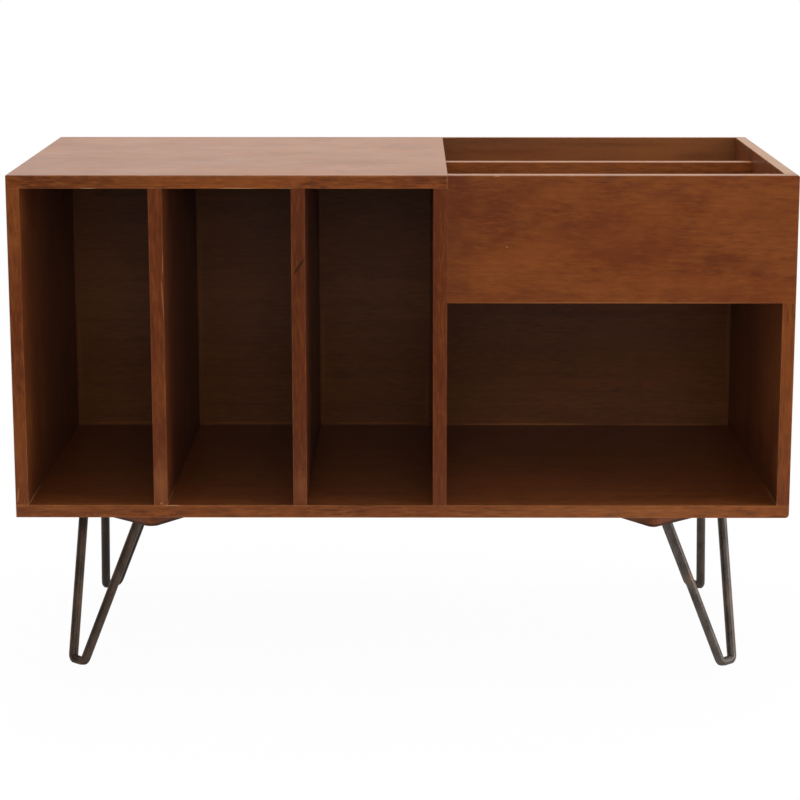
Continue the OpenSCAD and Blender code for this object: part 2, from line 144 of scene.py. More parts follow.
class LegSettings(bpy.types.PropertyGroup):
    """Sizes and finish of the hairpin legs, their plates and screws"""

    rod: LengthProperty(
        name="Rod diameter", description="Diameter of the bent steel rod",
        min=0.008, max=0.016, default=0.0127)
    spread: LengthProperty(
        name="Rod spread", description="Distance between the rods at the plate",
        min=0.08, max=0.16, default=0.109)
    splay: AngleProperty(
        name="Splay", description="How far each leg leans out towards its corner",
        min=0, max=0.5, default=math.radians(19))
    front_turn: AngleProperty(
        name="Front turn", description="Angle between the case's front and a front leg's two rods",
        min=0.5, max=1, default=math.radians(39))
    rear_turn: AngleProperty(
        name="Rear turn", description="Angle between the case's back and a rear leg's two rods",
        min=0.5, max=1, default=math.radians(42.5))
    foot_in: FloatVectorProperty(
        name="Foot inset", description="How far each foot stands in from the case's end and front",
        subtype="TRANSLATION", size=2, min=0.04, max=0.12, default=(0.0673, 0.0578))
    bend: LengthProperty(
        name="Bend radius", description="Inner radius of the two bends in the foot",
        min=0.001, max=0.01, default=0.0015)
    run: LengthProperty(
        name="Foot run", description="Straight run between the two bends",
        min=0.001, max=0.03, default=0.0094)
    steel: ColourProperty(
        name="Steel", description="Dark bronze lacquer on the steel", default=tone(80, 68, 60))
    scale: ColourProperty(
        name="Mill scale", description="Darker patches that show through the lacquer",
        default=tone(54, 45, 37))
    zinc: ColourProperty(
        name="Zinc", description="Plating on the screws", default=tone(196, 196, 190))


class StageSettings(bpy.types.PropertyGroup):
    """Floor, surroundings, lamps and camera"""

    ambient: FloatProperty(
        name="Room light", description="Even light that reaches the stand from all round",
        min=0, max=2, default=0.52)
    camera_side: ShareProperty(
        name="Camera side", description="Brightness of what the lacquer mirrors in front",
        default=0.03)
    cream: ColourProperty(
        name="Wall colour", description="Warm white of the studio walls that the lacquer mirrors",
        default=(1.0, 1.0, 0.97))
    overhead: PowerProperty(
        name="Overhead lamp", description="Power of the large lamp above the stand",
        max=400, default=56)
    side_lamp: PowerProperty(
        name="Side lamp", description="Power of the tall lamp at the right", max=200, default=24)
    front_lamp: PowerProperty(
        name="Front lamp", description="Power of the lamp behind the camera", max=200, default=27)
    floor_white: ShareProperty(
        name="Floor white", description="How far the floor is lifted to the white of the backdrop",
        default=0.97)


# ---- node helpers

class Nodes:
    """Writes a shader tree one node at a time. A value is a number, a tuple or another node's socket."""

    def __init__(self, tree):
        self.tree = tree

    def feed(self, node, values):
        """Links or sets some inputs of a node, by name or number."""
        for name, value in values.items():
            socket = node.inputs[name]
            if isinstance(value, bpy.types.NodeSocket):
                self.tree.links.new(value, socket)
            elif socket.type == "RGBA":
                socket.default_value = (*value[:3], 1)
            else:
                socket.default_value = value

    def put(self, kind, values=None, **settings):
        node = self.tree.nodes.new("ShaderNode" + kind)
        for name, value in settings.items():
            setattr(node, name, value)
        self.feed(node, values or {})
        return node

    def calc(self, operation, *values):
        return self.put("Math", dict(enumerate(values)), operation=operation).outputs[0]

    def plus(self, first, second):
        return self.calc("ADD", first, second)

    def minus(self, first, second):
        return self.calc("SUBTRACT", first, second)

    def times(self, first, second):
        return self.calc("MULTIPLY", first, second)

    def vector(self, operation, *values):
        node = self.put("VectorMath", dict(enumerate(values)), operation=operation)
        return node.outputs["Value" if operation in ("LENGTH", "DOT_PRODUCT") else "Vector"]

    def turned(self, vector, rotation, place=(0, 0, 0)):
        """A vector turned, then moved."""
        values = {"Vector": vector, "Location": place, "Rotation": rotation}
        return self.put("Mapping", values).outputs[0]

    def ease(self, value, start, end, low=0.0, high=1.0):
        """Smooth step from low to high as value goes from start to end."""
        return self.put("MapRange", {
            "Value": value, "From Min": start, "From Max": end, "To Min": low, "To Max": high,
        }, interpolation_type="SMOOTHSTEP").outputs[0]

    def blend(self, share, first, second):
        """First colour where the share is 0, second where it is 1."""
        values = {0: share, 6: first, 7: second}
        return self.put("Mix", values, data_type="RGBA", blend_type="MIX").outputs[2]

    def between(self, share, first, second):
        """First number where the share is 0, second where it is 1."""
        return self.put("Mix", {0: share, 2: first, 3: second}).outputs[0]

    def noise(self, vector, stretch, detail=2.0, roughness=0.5, out="Fac"):
        """Noise with its own fineness along each axis, in cells per metre."""
        return self.put("TexNoise", {
            "Vector": self.vector("MULTIPLY", vector, stretch),
            "Scale": 1.0, "Detail": detail, "Roughness": roughness,
        }).outputs[out]

    def bump(self, strength, distance, height):
        values = {"Strength": strength, "Distance": distance, "Height": height}
        return self.put("Bump", values).outputs["Normal"]

    def use(self, group, values):
        """Places a shared group and returns its outputs by name."""
        return self.put("Group", values, node_tree=group).outputs


class Group(Nodes):
    """Nodes of a new shared group, with the given inputs and their defaults"""

    def __init__(self, name, inputs):
        super().__init__(bpy.data.node_groups.new(name, "ShaderNodeTree"))
        for label, value in inputs.items():
            kind = "NodeSocketVector" if isinstance(value, tuple) else "NodeSocketFloat"
            socket = self.tree.interface.new_socket(name=label, in_out="INPUT", socket_type=kind)
            socket.default_value = value
        self.given = self.tree.nodes.new("NodeGroupInput").outputs

    def close(self, outputs):
        """Makes the outputs, feeds them and returns the group."""
        for label in outputs:
            self.tree.interface.new_socket(
                name=label, in_out="OUTPUT", socket_type="NodeSocketFloat")
        self.feed(self.tree.nodes.new("NodeGroupOutput"), outputs)
        return self.tree


class Surface(Nodes):
    """Nodes of a new material with one Principled shader, whose even values are given"""

    def __init__(self, name, values=None):
        self.material = bpy.data.materials.new(name)
        self.material.use_nodes = True
        super().__init__(self.material.node_tree)
        self.tree.nodes.clear()
        self.shader = self.put("BsdfPrincipled", values)
        self.exit = self.put("OutputMaterial", {"Surface": self.shader.outputs["BSDF"]})
        self.coordinates = self.put("TexCoord").outputs
        self.at = self.coordinates["Object"]

    def gloss(self, even, change):
        """Outputs of the shared smudges and scratches, round an even roughness."""
        return self.use(handled_gloss(), {"Position": self.at, "Even": even, "Change": change})

    def finish(self, values):
        """Feeds what changes over the surface and returns the material."""
        self.feed(self.shader, values)
        return self.material


# ---- shared groups

@cache
def board_fibres():
    """Growth rings, long streaks, short flecks and fine fibres, all running along X of the vector."""
    n = Group("Board fibres", {"Vector": (0, 0, 0), "Ring spacing": 0.007, "Waviness": 0.012})
    drift = n.noise(n.given["Vector"], (1.7, 6, 6), 2, 0.5, "Color")
    drift = n.vector("SUBTRACT", drift, (0.5, 0.5, 0.5))
    wander = n.put("VectorMath", {0: drift, "Scale": n.given["Waviness"]}, operation="SCALE")
    path = n.vector("ADD", n.given["Vector"], wander.outputs["Vector"])
    across = n.vector("LENGTH", n.vector("MULTIPLY", path, (0, 1, 1)))
    turns = n.calc("DIVIDE", across, n.given["Ring spacing"])
    ripple = n.times(n.noise(path, (3, 26, 26), 2), 2.4)
    phase = n.calc("FRACT", n.plus(turns, ripple))
    dashes = n.noise(path, (52, 330, 330), 3, 0.62)
    crowd = n.ease(n.noise(path, (9, 26, 26), 2, 0.55), 0.36, 0.6, 0.25, 1.0)
    return n.close({
        "Rings": n.times(n.ease(phase, 0.35, 0.93), n.ease(phase, 1.0, 0.93)),
        "Streaks": n.ease(n.noise(path, (3.5, 85, 85), 4, 0.62), 0.36, 0.72),
        "Flecks": n.times(n.ease(dashes, 0.5, 0.68), crowd),
        "Glints": n.ease(dashes, 0.5, 0.32),
        "Fibres": n.noise(path, (110, 1100, 1100), 2, 0.6),
    })


@cache
def stain_clouds():
    """Golden and reddish patches that the stain leaves, and ripples of figure across the grain."""
    n = Group("Stain clouds", {"Vector": (0, 0, 0), "Bias": 0.0})
    place = n.given["Vector"]
    broad = n.noise(place, (5.5, 10, 10), 2, 0.5)
    small = n.noise(place, (19, 30, 30), 3, 0.55)
    fine = n.noise(place, (60, 190, 190), 3, 0.6)
    both = n.plus(n.times(broad, 0.52), n.times(small, 0.26))
    both = n.plus(both, n.times(fine, 0.22))
    slant = n.turned(place, (0.2, 0.16, 0.12))
    return n.close({
        "Clouds": n.ease(n.plus(both, n.given["Bias"]), 0.39, 0.61),
        "Ripples": n.ease(n.noise(slant, (30, 90, 90), 2, 0.5), 0.32, 0.7),
    })


@cache
def rubbed_edges():
    """Ragged mask along the twelve edges of a board between two corners."""
    n = Group("Rubbed edges", {
        "Position": (0, 0, 0), "Low corner": (0, 0, 0), "High corner": (1, 1, 1), "Width": 0.0015})
    at = n.given["Position"]
    from_low = n.vector("ABSOLUTE", n.vector("SUBTRACT", at, n.given["Low corner"]))
    from_high = n.vector("ABSOLUTE", n.vector("SUBTRACT", n.given["High corner"], at))
    near = n.put("SeparateXYZ", {0: n.vector("MINIMUM", from_low, from_high)}).outputs
    # The second smallest of the three distances is how far the nearest edge is
    low = n.calc("MINIMUM", near[0], near[1])
    high = n.calc("MAXIMUM", near[0], near[1])
    second = n.calc("MAXIMUM", low, n.calc("MINIMUM", high, near[2]))
    ragged = n.noise(at, (60, 60, 60), 4, 0.7)
    patchy = n.ease(n.noise(at, (9, 9, 9), 2, 0.6), 0.35, 0.62)
    reach = n.times(n.given["Width"], n.ease(ragged, 0.3, 0.75, 0.2, 1.6))
    edge = n.ease(n.minus(1.0, n.calc("DIVIDE", second, reach)), 0.0, 0.5)
    return n.close({"Rub": n.times(edge, n.plus(n.times(patchy, 0.75), 0.25))})


@cache
def small_mark():
    """Ragged spot that fills a unit ball of the vector."""
    n = Group("Small mark", {"Vector": (0, 0, 0), "Ragged": 0.5, "Core": 0.55})
    torn = n.minus(n.noise(n.given["Vector"], (2.5, 2.5, 2.5), 3, 0.6), 0.5)
    out = n.plus(n.vector("LENGTH", n.given["Vector"]), n.times(torn, n.given["Ragged"]))
    return n.close({"Mark": n.ease(out, 1.0, n.given["Core"])})


@cache
def handled_gloss():
    """Smudges and hair-fine scratches that change how the surface shines."""
    n = Group("Handled gloss", {"Position": (0, 0, 0), "Even": 0.4, "Change": 0.1})
    at = n.given["Position"]
    smudge = n.noise(at, (14, 14, 14), 3, 0.6)
    grit = n.noise(at, (420, 420, 420), 2, 0.6)
    slant = n.turned(at, (0.5, 0.9, 0.35))
    hairs = n.ease(n.noise(slant, (18, 1100, 900), 2, 0.5), 0.66, 0.74)
    both = n.plus(smudge, n.times(grit, 0.4))
    swing = n.times(n.minus(both, 0.7), n.given["Change"])
    return n.close({
        "Roughness": n.plus(n.plus(n.given["Even"], swing), n.times(hairs, 0.05)),
        "Scratches": hairs,
    })


@cache
def rolled_steel():
    """Mill scale, small dents and rust of hot-rolled steel."""
    n = Group("Rolled steel", {"Position": (0, 0, 0)})
    at = n.given["Position"]
    blotch = n.noise(at, (60, 60, 32), 4, 0.62)
    speck = n.noise(at, (700, 700, 420), 3, 0.6)
    dents = n.noise(at, (150, 150, 90), 2, 0.5)
    return n.close({
        "Scale": n.ease(n.plus(n.times(blotch, 0.7), n.times(speck, 0.3)), 0.4, 0.62),
        "Height": n.plus(n.times(speck, 0.35), dents),
        "Rust": n.ease(n.noise(at, (24, 24, 14), 5, 0.7), 0.52, 0.7),
    })


# ---- materials

RUST = tone(104, 76, 54)
BEECH, BEECH_STREAK, BEECH_PORE = tone(206, 166, 118), tone(184, 138, 92), tone(150, 104, 66)
FLOOR_DARK, FLOOR_LIGHT = tone(238, 238, 238), tone(242, 242, 242)

# For each way the grain can run: the turn that lays it along X, and its direction
SLANT = math.sqrt(0.5)
GRAINS = {
    "X": ((0, 0, 0), (1, 0, 0)),
    "Z": ((0, math.pi / 2, 0), (0, 0, 1)),
    "DIAGONAL": ((0, 0, math.pi / 4), (SLANT, SLANT, 0)),
    "COUNTER": ((0, 0, -math.pi / 4), (SLANT, -SLANT, 0)),
}


def darker(colour, depth):
    """Colour with its stain depth changed: 0 as it is, 1 black, below 0 paler."""
    return tuple(min(1.0, c * (1 - depth)) for c in colour[:3])


def greyer(colour, share):
    """Colour moved some way to a grey of its own lightness, or away from it below 0."""
    grey = sum(colour[:3]) / 3
    return tuple(max(0.0, c + (grey - c) * share) for c in colour[:3])


class Mark(NamedTuple):
    """Small place on a board that differs from the wood around it, in metres, turned about Y.

    Its colour names a stain setting. Ragged is how torn its outline is, and core is how far out it
    keeps its full strength: at 0.55 it has a crisp rim, and below 0 it fades from its middle.
    """

    place: tuple
    half: tuple
    colour: str
    strength: float = 1.0
    turn: float = 0.0
    ragged: float = 0.8
    core: float = 0.55


def stained_wood(name, low, high, grain, look, stain, marks=()):
    """Stained and lacquered board between two corners, with its grain along one axis."""
    n = Surface(name, {
        "Coat Roughness": 0.24, "Specular IOR Level": stain.mirror,
        "Sheen Weight": stain.haze, "Sheen Roughness": 0.6,
    })
    turn, direction = GRAINS[grain]
    cut = n.turned(n.at, Vector(turn) + Vector((0, look.tilt, 0)), look.cut)
    fibres = n.use(board_fibres(), {"Vector": cut, "Ring spacing": look.ring_spacing})
    clouds = n.use(stain_clouds(), {"Vector": cut, "Bias": -look.redness})
    corners = {"Position": n.at, "Low corner": low, "High corner": high}
    rub = n.use(rubbed_edges(), corners)["Rub"]
    gloss = n.gloss(stain.roughness, 0.12)
    facing = n.vector("DOT_PRODUCT", n.coordinates["Normal"], direction)
    end_grain = n.ease(n.calc("ABSOLUTE", facing), 0.6, 0.95)

    golden, reddish, streak, pore, glint = (
        darker(shade, look.depth)
        for shade in (stain.golden, stain.reddish, stain.streak, stain.pore, stain.glint))
    middle = [(a + b) / 2 for a, b in zip(golden, reddish)]
    colour = n.blend(look.cloudiness, middle, n.blend(clouds["Clouds"], reddish, golden))
    layers = [
        (fibres["Streaks"], look.streaks, streak),
        (fibres["Rings"], look.rings, streak),
        (clouds["Ripples"], look.cloudiness * 0.22, streak),
        (fibres["Glints"], look.flecks * 0.55, glint),
        (fibres["Flecks"], look.flecks, pore),
        (end_grain, 0.45, streak),
        (rub, look.rub, stain.rubbed),
    ]
    for mark in marks:
        local = n.put("Mapping", {
            "Vector": n.at, "Location": mark.place, "Rotation": (0, mark.turn, 0), "Scale": mark.half,
        }, vector_type="TEXTURE").outputs[0]
        outline = {"Vector": local, "Ragged": mark.ragged, "Core": mark.core}
        spot = n.use(small_mark(), outline)["Mark"]
        layers.append((spot, mark.strength, getattr(stain, mark.colour)))
    for mask, strength, shade in layers:
        colour = n.blend(n.times(mask, strength), colour, shade)

    height = n.minus(n.times(fibres["Fibres"], 0.5), fibres["Flecks"])
    height = n.minus(height, n.times(fibres["Streaks"], 0.4))
    height = n.minus(height, n.times(gloss["Scratches"], 0.3))
    return n.finish({
        "Base Color": colour,
        "Roughness": n.plus(gloss["Roughness"], n.times(rub, 0.12)),
        "Coat Weight": n.times(n.minus(1.0, n.times(rub, 0.7)), stain.coat),
        "Normal": n.bump(0.35, 0.00025, height),
    })


def bronzed_steel(name, legs, depth=0.0, rust=0.4, grey=0.0, metal=0.72):
    """Dark bronze lacquer over hot-rolled steel. Depth darkens the lacquer, or pales it below 0."""
    n = Surface(name, {"Coat Roughness": 0.3, "Specular IOR Level": 0.25})
    steel = n.use(rolled_steel(), {"Position": n.at})
    gloss = n.gloss(0.44, 0.14)
    lacquer, scale = (darker(greyer(shade, grey), depth) for shade in (legs.steel, legs.scale))
    colour = n.blend(steel["Scale"], lacquer, scale)
    return n.finish({
        "Base Color": n.blend(n.times(steel["Rust"], rust), colour, darker(RUST, depth)),
        "Roughness": gloss["Roughness"],
        "Metallic": n.minus(metal, n.times(steel["Rust"], 0.3)),
        "Coat Weight": n.plus(0.03, n.times(steel["Scale"], 0.1)),
        "Normal": n.bump(0.3, 0.0003, steel["Height"]),
    })


def zinc_plate(name, legs):
    """Bright zinc on the screws, dulled where it was handled."""
    n = Surface(name)
    steel = n.use(rolled_steel(), {"Position": n.at})
    gloss = n.gloss(0.34, 0.2)
    return n.finish({
        "Base Color": n.blend(steel["Scale"], legs.zinc, darker(legs.zinc, 0.4)),
        "Roughness": gloss["Roughness"],
        "Metallic": n.minus(1.0, n.times(steel["Rust"], 0.15)),
        "Normal": n.bump(0.2, 0.0001, steel["Height"]),
    })


def raw_beech(name):
    """Unstained wood of the dowels."""
    n = Surface(name)
    fibres = n.use(board_fibres(), {"Vector": n.at, "Ring spacing": 0.002, "Waviness": 0.003})
    gloss = n.gloss(0.72, 0.1)
    colour = n.blend(fibres["Streaks"], BEECH, BEECH_STREAK)
    return n.finish({
        "Base Color": n.blend(n.times(fibres["Flecks"], 0.5), colour, BEECH_PORE),
        "Roughness": gloss["Roughness"],
        "Normal": n.bump(0.3, 0.0002, fibres["Fibres"]),
    })


def pale_floor(name, white):
    """Matt floor, lifted some way to plain white for the camera and in what mirrors it."""
    n = Surface(name)
    mottle = n.ease(n.noise(n.at, (3, 3, 3), 3), 0.3, 0.7)
    path = n.put("LightPath").outputs
    seen = n.calc("MAXIMUM", path["Is Camera Ray"], n.times(path["Is Glossy Ray"], 0.5))
    seen = n.calc("MAXIMUM", seen, path["Is Transmission Ray"])
    glow = n.put("Emission", {"Color": (1, 1, 1), "Strength": 1.0}).outputs[0]
    both = n.put("MixShader", {0: n.times(seen, white), 1: n.shader.outputs["BSDF"], 2: glow})
    n.feed(n.exit, {"Surface": both.outputs[0]})
    return n.finish({
        "Base Color": n.blend(mottle, FLOOR_DARK, FLOOR_LIGHT),
        "Roughness": n.ease(mottle, 0, 1, 0.75, 0.85),
    })


# ---- mesh helpers

SMOOTH_BELOW = math.radians(38)  # edges that bend less than this are shaded smooth
FLAT_BELOW = math.radians(0.5)   # edges that bend less than this lie inside a flat face
SQUARE_ABOVE = 1.0               # edges that bend more than this, in radians, are square ones
SAME_POINT = 2e-6                # corners this near to each other are one
IN_PLANE = 5e-5                  # corners this near to a plane lie in it
LEVEL = 1e-5                     # corners this near in height lie level


def new_mesh(name, bm):
    """Mesh with the faces of a bmesh, which is freed."""
    mesh = bpy.data.meshes.new(name)
    bm.to_mesh(mesh)
    bm.free()
    return mesh


def new_object(name, data):
    """Object in the scene, at the origin."""
    thing = bpy.data.objects.new(name, data)
    bpy.context.scene.collection.objects.link(thing)
    return thing


def own_mesh(node):
    """Bmesh of a node's surface with its split corners welded and its flat faces whole."""
    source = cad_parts[node].data
    mesh = bpy.data.meshes.new(node)
    mesh.from_pydata([v.co for v in source.vertices], [], [list(p.vertices) for p in source.polygons])
    bm = bmesh.new()
    bm.from_mesh(mesh)
    bpy.data.meshes.remove(mesh)
    bmesh.ops.remove_doubles(bm, verts=bm.verts, dist=SAME_POINT)
    bmesh.ops.dissolve_limit(bm, angle_limit=FLAT_BELOW, verts=bm.verts, edges=bm.edges)
    return bm


def lies_in(edge, planes):
    """True if an edge lies in one of some planes, each an axis and a place."""
    return any(all(abs(v.co[axis] - place) < IN_PLANE for v in edge.verts) for axis, place in planes)


def bevel(bm, edges, width, segments):
    bmesh.ops.bevel(bm, geom=edges, offset=width, offset_type="OFFSET", segments=segments,
                    profile=0.5, affect="EDGES", clamp_overlap=True)


def ease_edges(bm, free, joint, flush, shortest=0.012):
    """Rounds the long square edges, and by less those in the planes where other boards meet flush."""
    def square(wanted):
        return [e for e in bm.edges
                if e.is_manifold and e.is_convex and e.calc_face_angle(0.0) > SQUARE_ABOVE
                and e.calc_length() > shortest and lies_in(e, flush) == wanted]
    if flush:
        bevel(bm, square(True), joint, 1)
    bevel(bm, square(False), free, 3)


def finish_piece(bm, name, node, material, weighted=True):
    """Links a bmesh as the piece that stands for a node."""
    bmesh.ops.recalc_face_normals(bm, faces=bm.faces)
    mesh = new_mesh(name, bm)
    mesh.shade_smooth()
    mesh.set_sharp_from_angle(angle=SMOOTH_BELOW)
    mesh.materials.append(material)
    piece = new_object(name, mesh)
    if weighted:
        piece.modifiers.new("Even faces", "WEIGHTED_NORMAL").keep_sharp = True
    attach(piece, "root")
    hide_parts(node)
    return piece


def make_board(context, look, node, grain, flush=(), marks=()):
    """Makes one stained board in its node's place. Flush lists the planes of its flush joints."""
    edges = context.scene.record_stand_edges
    bm = own_mesh(node)
    ease_edges(bm, edges.free, edges.joint, flush)
    low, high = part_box(node)
    material = stained_wood(node.replace("_", " ") + " wood", low, high, grain, look,
                            context.scene.record_stand_stain, marks)
    finish_piece(bm, "stained_" + node, node, material)
    return {"FINISHED"}


def angles(count):
    """Angles of some points spread evenly round a circle."""
    return [2 * math.pi * i / count for i in range(count)]


def skin(bm, rows):
    """Faces between neighbouring rings of corners, and one across each end."""
    around = len(rows[0])
    for one, two in zip(rows, rows[1:]):
        for i in range(around):
            j = (i + 1) % around
            bm.faces.new((one[i], one[j], two[j], two[i]))
    bm.faces.new(rows[0])
    bm.faces.new(rows[-1])


def lathe(profile, segments):
    """Bmesh of a profile of (radius, height) turned about Z, which it starts from and ends on."""
    bm = bmesh.new()
    rings = [[bm.verts.new((radius * math.cos(a), radius * math.sin(a), height))
              for a in angles(segments if radius else 1)] for radius, height in profile]
    for one, two in zip(rings, rings[1:]):
        for i in range(segments):
            corners = [one[i % len(one)], one[(i + 1) % len(one)],
                       two[(i + 1) % len(two)], two[i % len(two)]]
            bm.faces.new(list(dict.fromkeys(corners)))
    return bm


def islands(bm):
    """Corners of each separate solid in a bmesh, in the bmesh's own order."""
    seen = set()
    for first in bm.verts:
        if first in seen:
            continue
        seen.add(first)
        island, todo = [], [first]
        while todo:
            corner = todo.pop()
            island.append(corner)
            for edge in corner.link_edges:
                other = edge.other_vert(corner)
                if other not in seen:
                    seen.add(other)
                    todo.append(other)
        yield island


def copies(one, places):
    """One bmesh that holds a copy of a small one at each place."""
    mesh = new_mesh("one", one)
    bm = bmesh.new()
    for place in places:
        before = len(bm.verts)
        bm.from_mesh(mesh)
        bm.verts.ensure_lookup_table()
        bmesh.ops.transform(bm, matrix=place, verts=bm.verts[before:])
    bpy.data.meshes.remove(mesh)
    return bm


# ---- boards

# Planes in which an upright meets the bottom board and the top board flush
UPRIGHT_JOINTS = [(2, FLOOR_FACE), (2, TOP_UNDER)]


class BoardLook:
    """How one board was cut and how it took the stain"""

    bl_options = {"REGISTER", "UNDO"}

    cloudiness: ShareProperty(
        name="Cloudiness", description="Strength of the golden and reddish clouds", default=0.7)
    redness: FloatProperty(
        name="Redness", description="Shift of the clouds to the reddish side",
        min=-0.3, max=0.3, default=0.0)
    depth: FloatProperty(
        name="Stain depth", description="How much darker the stain dried on this board",
        min=-0.5, max=0.9, default=0.0)
    streaks: ShareProperty(
        name="Streaks", description="Strength of the long streaks", default=0.2)
    rings: ShareProperty(
        name="Rings", description="Strength of the growth rings", default=0.08)
    ring_spacing: LengthProperty(
        name="Ring spacing", description="Distance between two growth rings",
        min=0.002, max=0.03, default=0.008)
    flecks: ShareProperty(
        name="Flecks", description="Strength of the short dark pores", default=0.5)
    tilt: AngleProperty(
        name="Tilt", description="Angle between the grain and the board's own edge",
        min=-0.2, max=0.2, default=0.0)
    rub: ShareProperty(
        name="Rubbed edges", description="How far the edges were sanded through", default=0.6)
    cut: FloatVectorProperty(
        name="Cut", description="Where in the log the board was cut",
        subtype="TRANSLATION", unit="LENGTH", default=(0.0, 0.11, 0.07))


def floor_line(x):
    """Pale hairline where an upright's inner face meets the bottom board, near the front."""
    return Mark((x, FRONT + 0.05, FLOOR_FACE + 0.001), (0.003, 0.065, 0.0022), "bare", 0.55, 0, 0.4)


class RECORDSTAND_OT_top_board(BoardLook, bpy.types.Operator):
    """Make the flat top over the three record slots"""

    bl_idname = "recordstand.top_board"
    bl_label = "Top board"

    def execute(self, context):
        marks = [
            Mark((-0.402, FRONT, TOP_UNDER), (0.013, 0.001, 0.0009), "bare", 0.8),
            Mark((-0.211, FRONT, TOP_UNDER), (0.030, 0.001, 0.0009), "bare", 0.85),
            Mark((-0.150, FRONT, TOP_UNDER), (0.012, 0.001, 0.0007), "bare", 0.5),
            Mark((-0.18, 0.02, TOP_FACE + 0.002), (0.62, 0.6, 0.006), "bare", 0.13, 0, 0.2),
        ]
        return make_board(context, self, "top_board", "X", [(0, BAY_LEFT)], marks)


# Short sanded dashes at the left of the bottom board's front edge: place along X and Z, and half length
SANDED_DASHES = [
    (-0.414, 0.2238, 0.0022), (-0.404, 0.2252, 0.0028), (-0.397, 0.2230, 0.0020),
    (-0.391, 0.2246, 0.0030), (-0.384, 0.2228, 0.0024), (-0.377, 0.2242, 0.0020),
]


class RECORDSTAND_OT_bottom_board(BoardLook, bpy.types.Operator):
    """Make the full-width bottom board"""

    bl_idname = "recordstand.bottom_board"
    bl_label = "Bottom board"

    def execute(self, context):
        marks = [
            Mark((-0.302, FRONT, FLOOR_FACE), (0.013, 0.0012, 0.0010), "bare", 0.8),
            # Lighter right half of the bottom board's front edge: partly golden tone, partly painted
            # light from the right
            Mark((0.30, FRONT, 0.2295), (0.27, 0.02, 0.016), "rubbed", 0.46, 0, 1.0, -0.2),
            Mark((-0.45, FRONT, 0.2330), (0.05, 0.02, 0.006), "rubbed", 0.3, 0, 1.0, -0.2),
        ]
        for i, (x, z, half) in enumerate(SANDED_DASHES):
            marks.append(Mark((x, FRONT, z), (half, 0.003, 0.0008), "rubbed", 0.75, 0.3 - 0.12 * i))
        return make_board(context, self, "bottom_board", "X", (), marks)


class RECORDSTAND_OT_left_side(BoardLook, bpy.types.Operator):
    """Make the left end of the case"""

    bl_idname = "recordstand.left_side"
    bl_label = "Left side"

    def execute(self, context):
        marks = [
            Mark((-0.5045, FRONT, 0.251), (0.0016, 0.002, 0.013), "rubbed", 0.7, 0.1),
            floor_line(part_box("left_side")[1].x),
        ]
        return make_board(context, self, "left_side", "Z", UPRIGHT_JOINTS, marks)


class RECORDSTAND_OT_right_side(BoardLook, bpy.types.Operator):
    """Make the right end of the case, up to the rim"""

    bl_idname = "recordstand.right_side"
    bl_label = "Right side"

    def execute(self, context):
        flush = [(2, FLOOR_FACE), (2, BIN_EDGE), (1, BIN_INSIDE)]
        marks = [
            # Painted highlight: the rim's top end face is lightened evenly toward bare wood, for the
            # light it catches
            Mark((0.4995, 0, TOP_FACE + 0.001), (0.03, 0.42, 0.004), "bare", 0.4, 0, 0.5),
            floor_line(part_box("right_side")[0].x),
        ]
        return make_board(context, self, "right_side", "Z", flush, marks)


class RECORDSTAND_OT_centre_partition(BoardLook, bpy.types.Operator):
    """Make the partition between the record slots and the equipment bay"""

    bl_idname = "recordstand.centre_partition"
    bl_label = "Centre partition"

    def execute(self, context):
        return make_board(context, self, "centre_partition", "Z", UPRIGHT_JOINTS)


class RECORDSTAND_OT_divider_left(BoardLook, bpy.types.Operator):
    """Make the left record divider"""

    bl_idname = "recordstand.divider_left"
    bl_label = "Left record divider"

    def execute(self, context):
        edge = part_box("record_divider_left")[1].x
        marks = [
            Mark((edge - 0.0004, FRONT, 0.560), (0.0007, 0.001, 0.020), "bare", 0.3, 0.02),
            Mark((edge - 0.0014, FRONT, 0.512), (0.0007, 0.0012, 0.032), "bare", 0.35, -0.05),
            Mark((-0.3165, FRONT, 0.2405), (0.0018, 0.002, 0.0014), "bare", 0.6),
            Mark((-0.3165, FRONT, 0.262), (0.018, 0.02, 0.055), "rubbed", 0.42, 0, 1.0, 0.0),
            floor_line(edge),
        ]
        return make_board(context, self, "record_divider_left", "Z", UPRIGHT_JOINTS, marks)


class RECORDSTAND_OT_divider_right(BoardLook, bpy.types.Operator):
    """Make the right record divider"""

    bl_idname = "recordstand.divider_right"
    bl_label = "Right record divider"

    def execute(self, context):
        marks = [
            Mark((-0.133, FRONT, 0.556), (0.0150, 0.004, 0.0023), "pore", 1.0, -0.96, 0.5),
            Mark((-0.130, FRONT, 0.287), (0.0022, 0.003, 0.0028), "pore", 0.6),
            Mark((-0.133, FRONT, 0.262), (0.016, 0.02, 0.035), "rubbed", 0.25, 0, 1.0, 0.0),
        ]
        return make_board(context, self, "record_divider_right", "Z", UPRIGHT_JOINTS, marks)


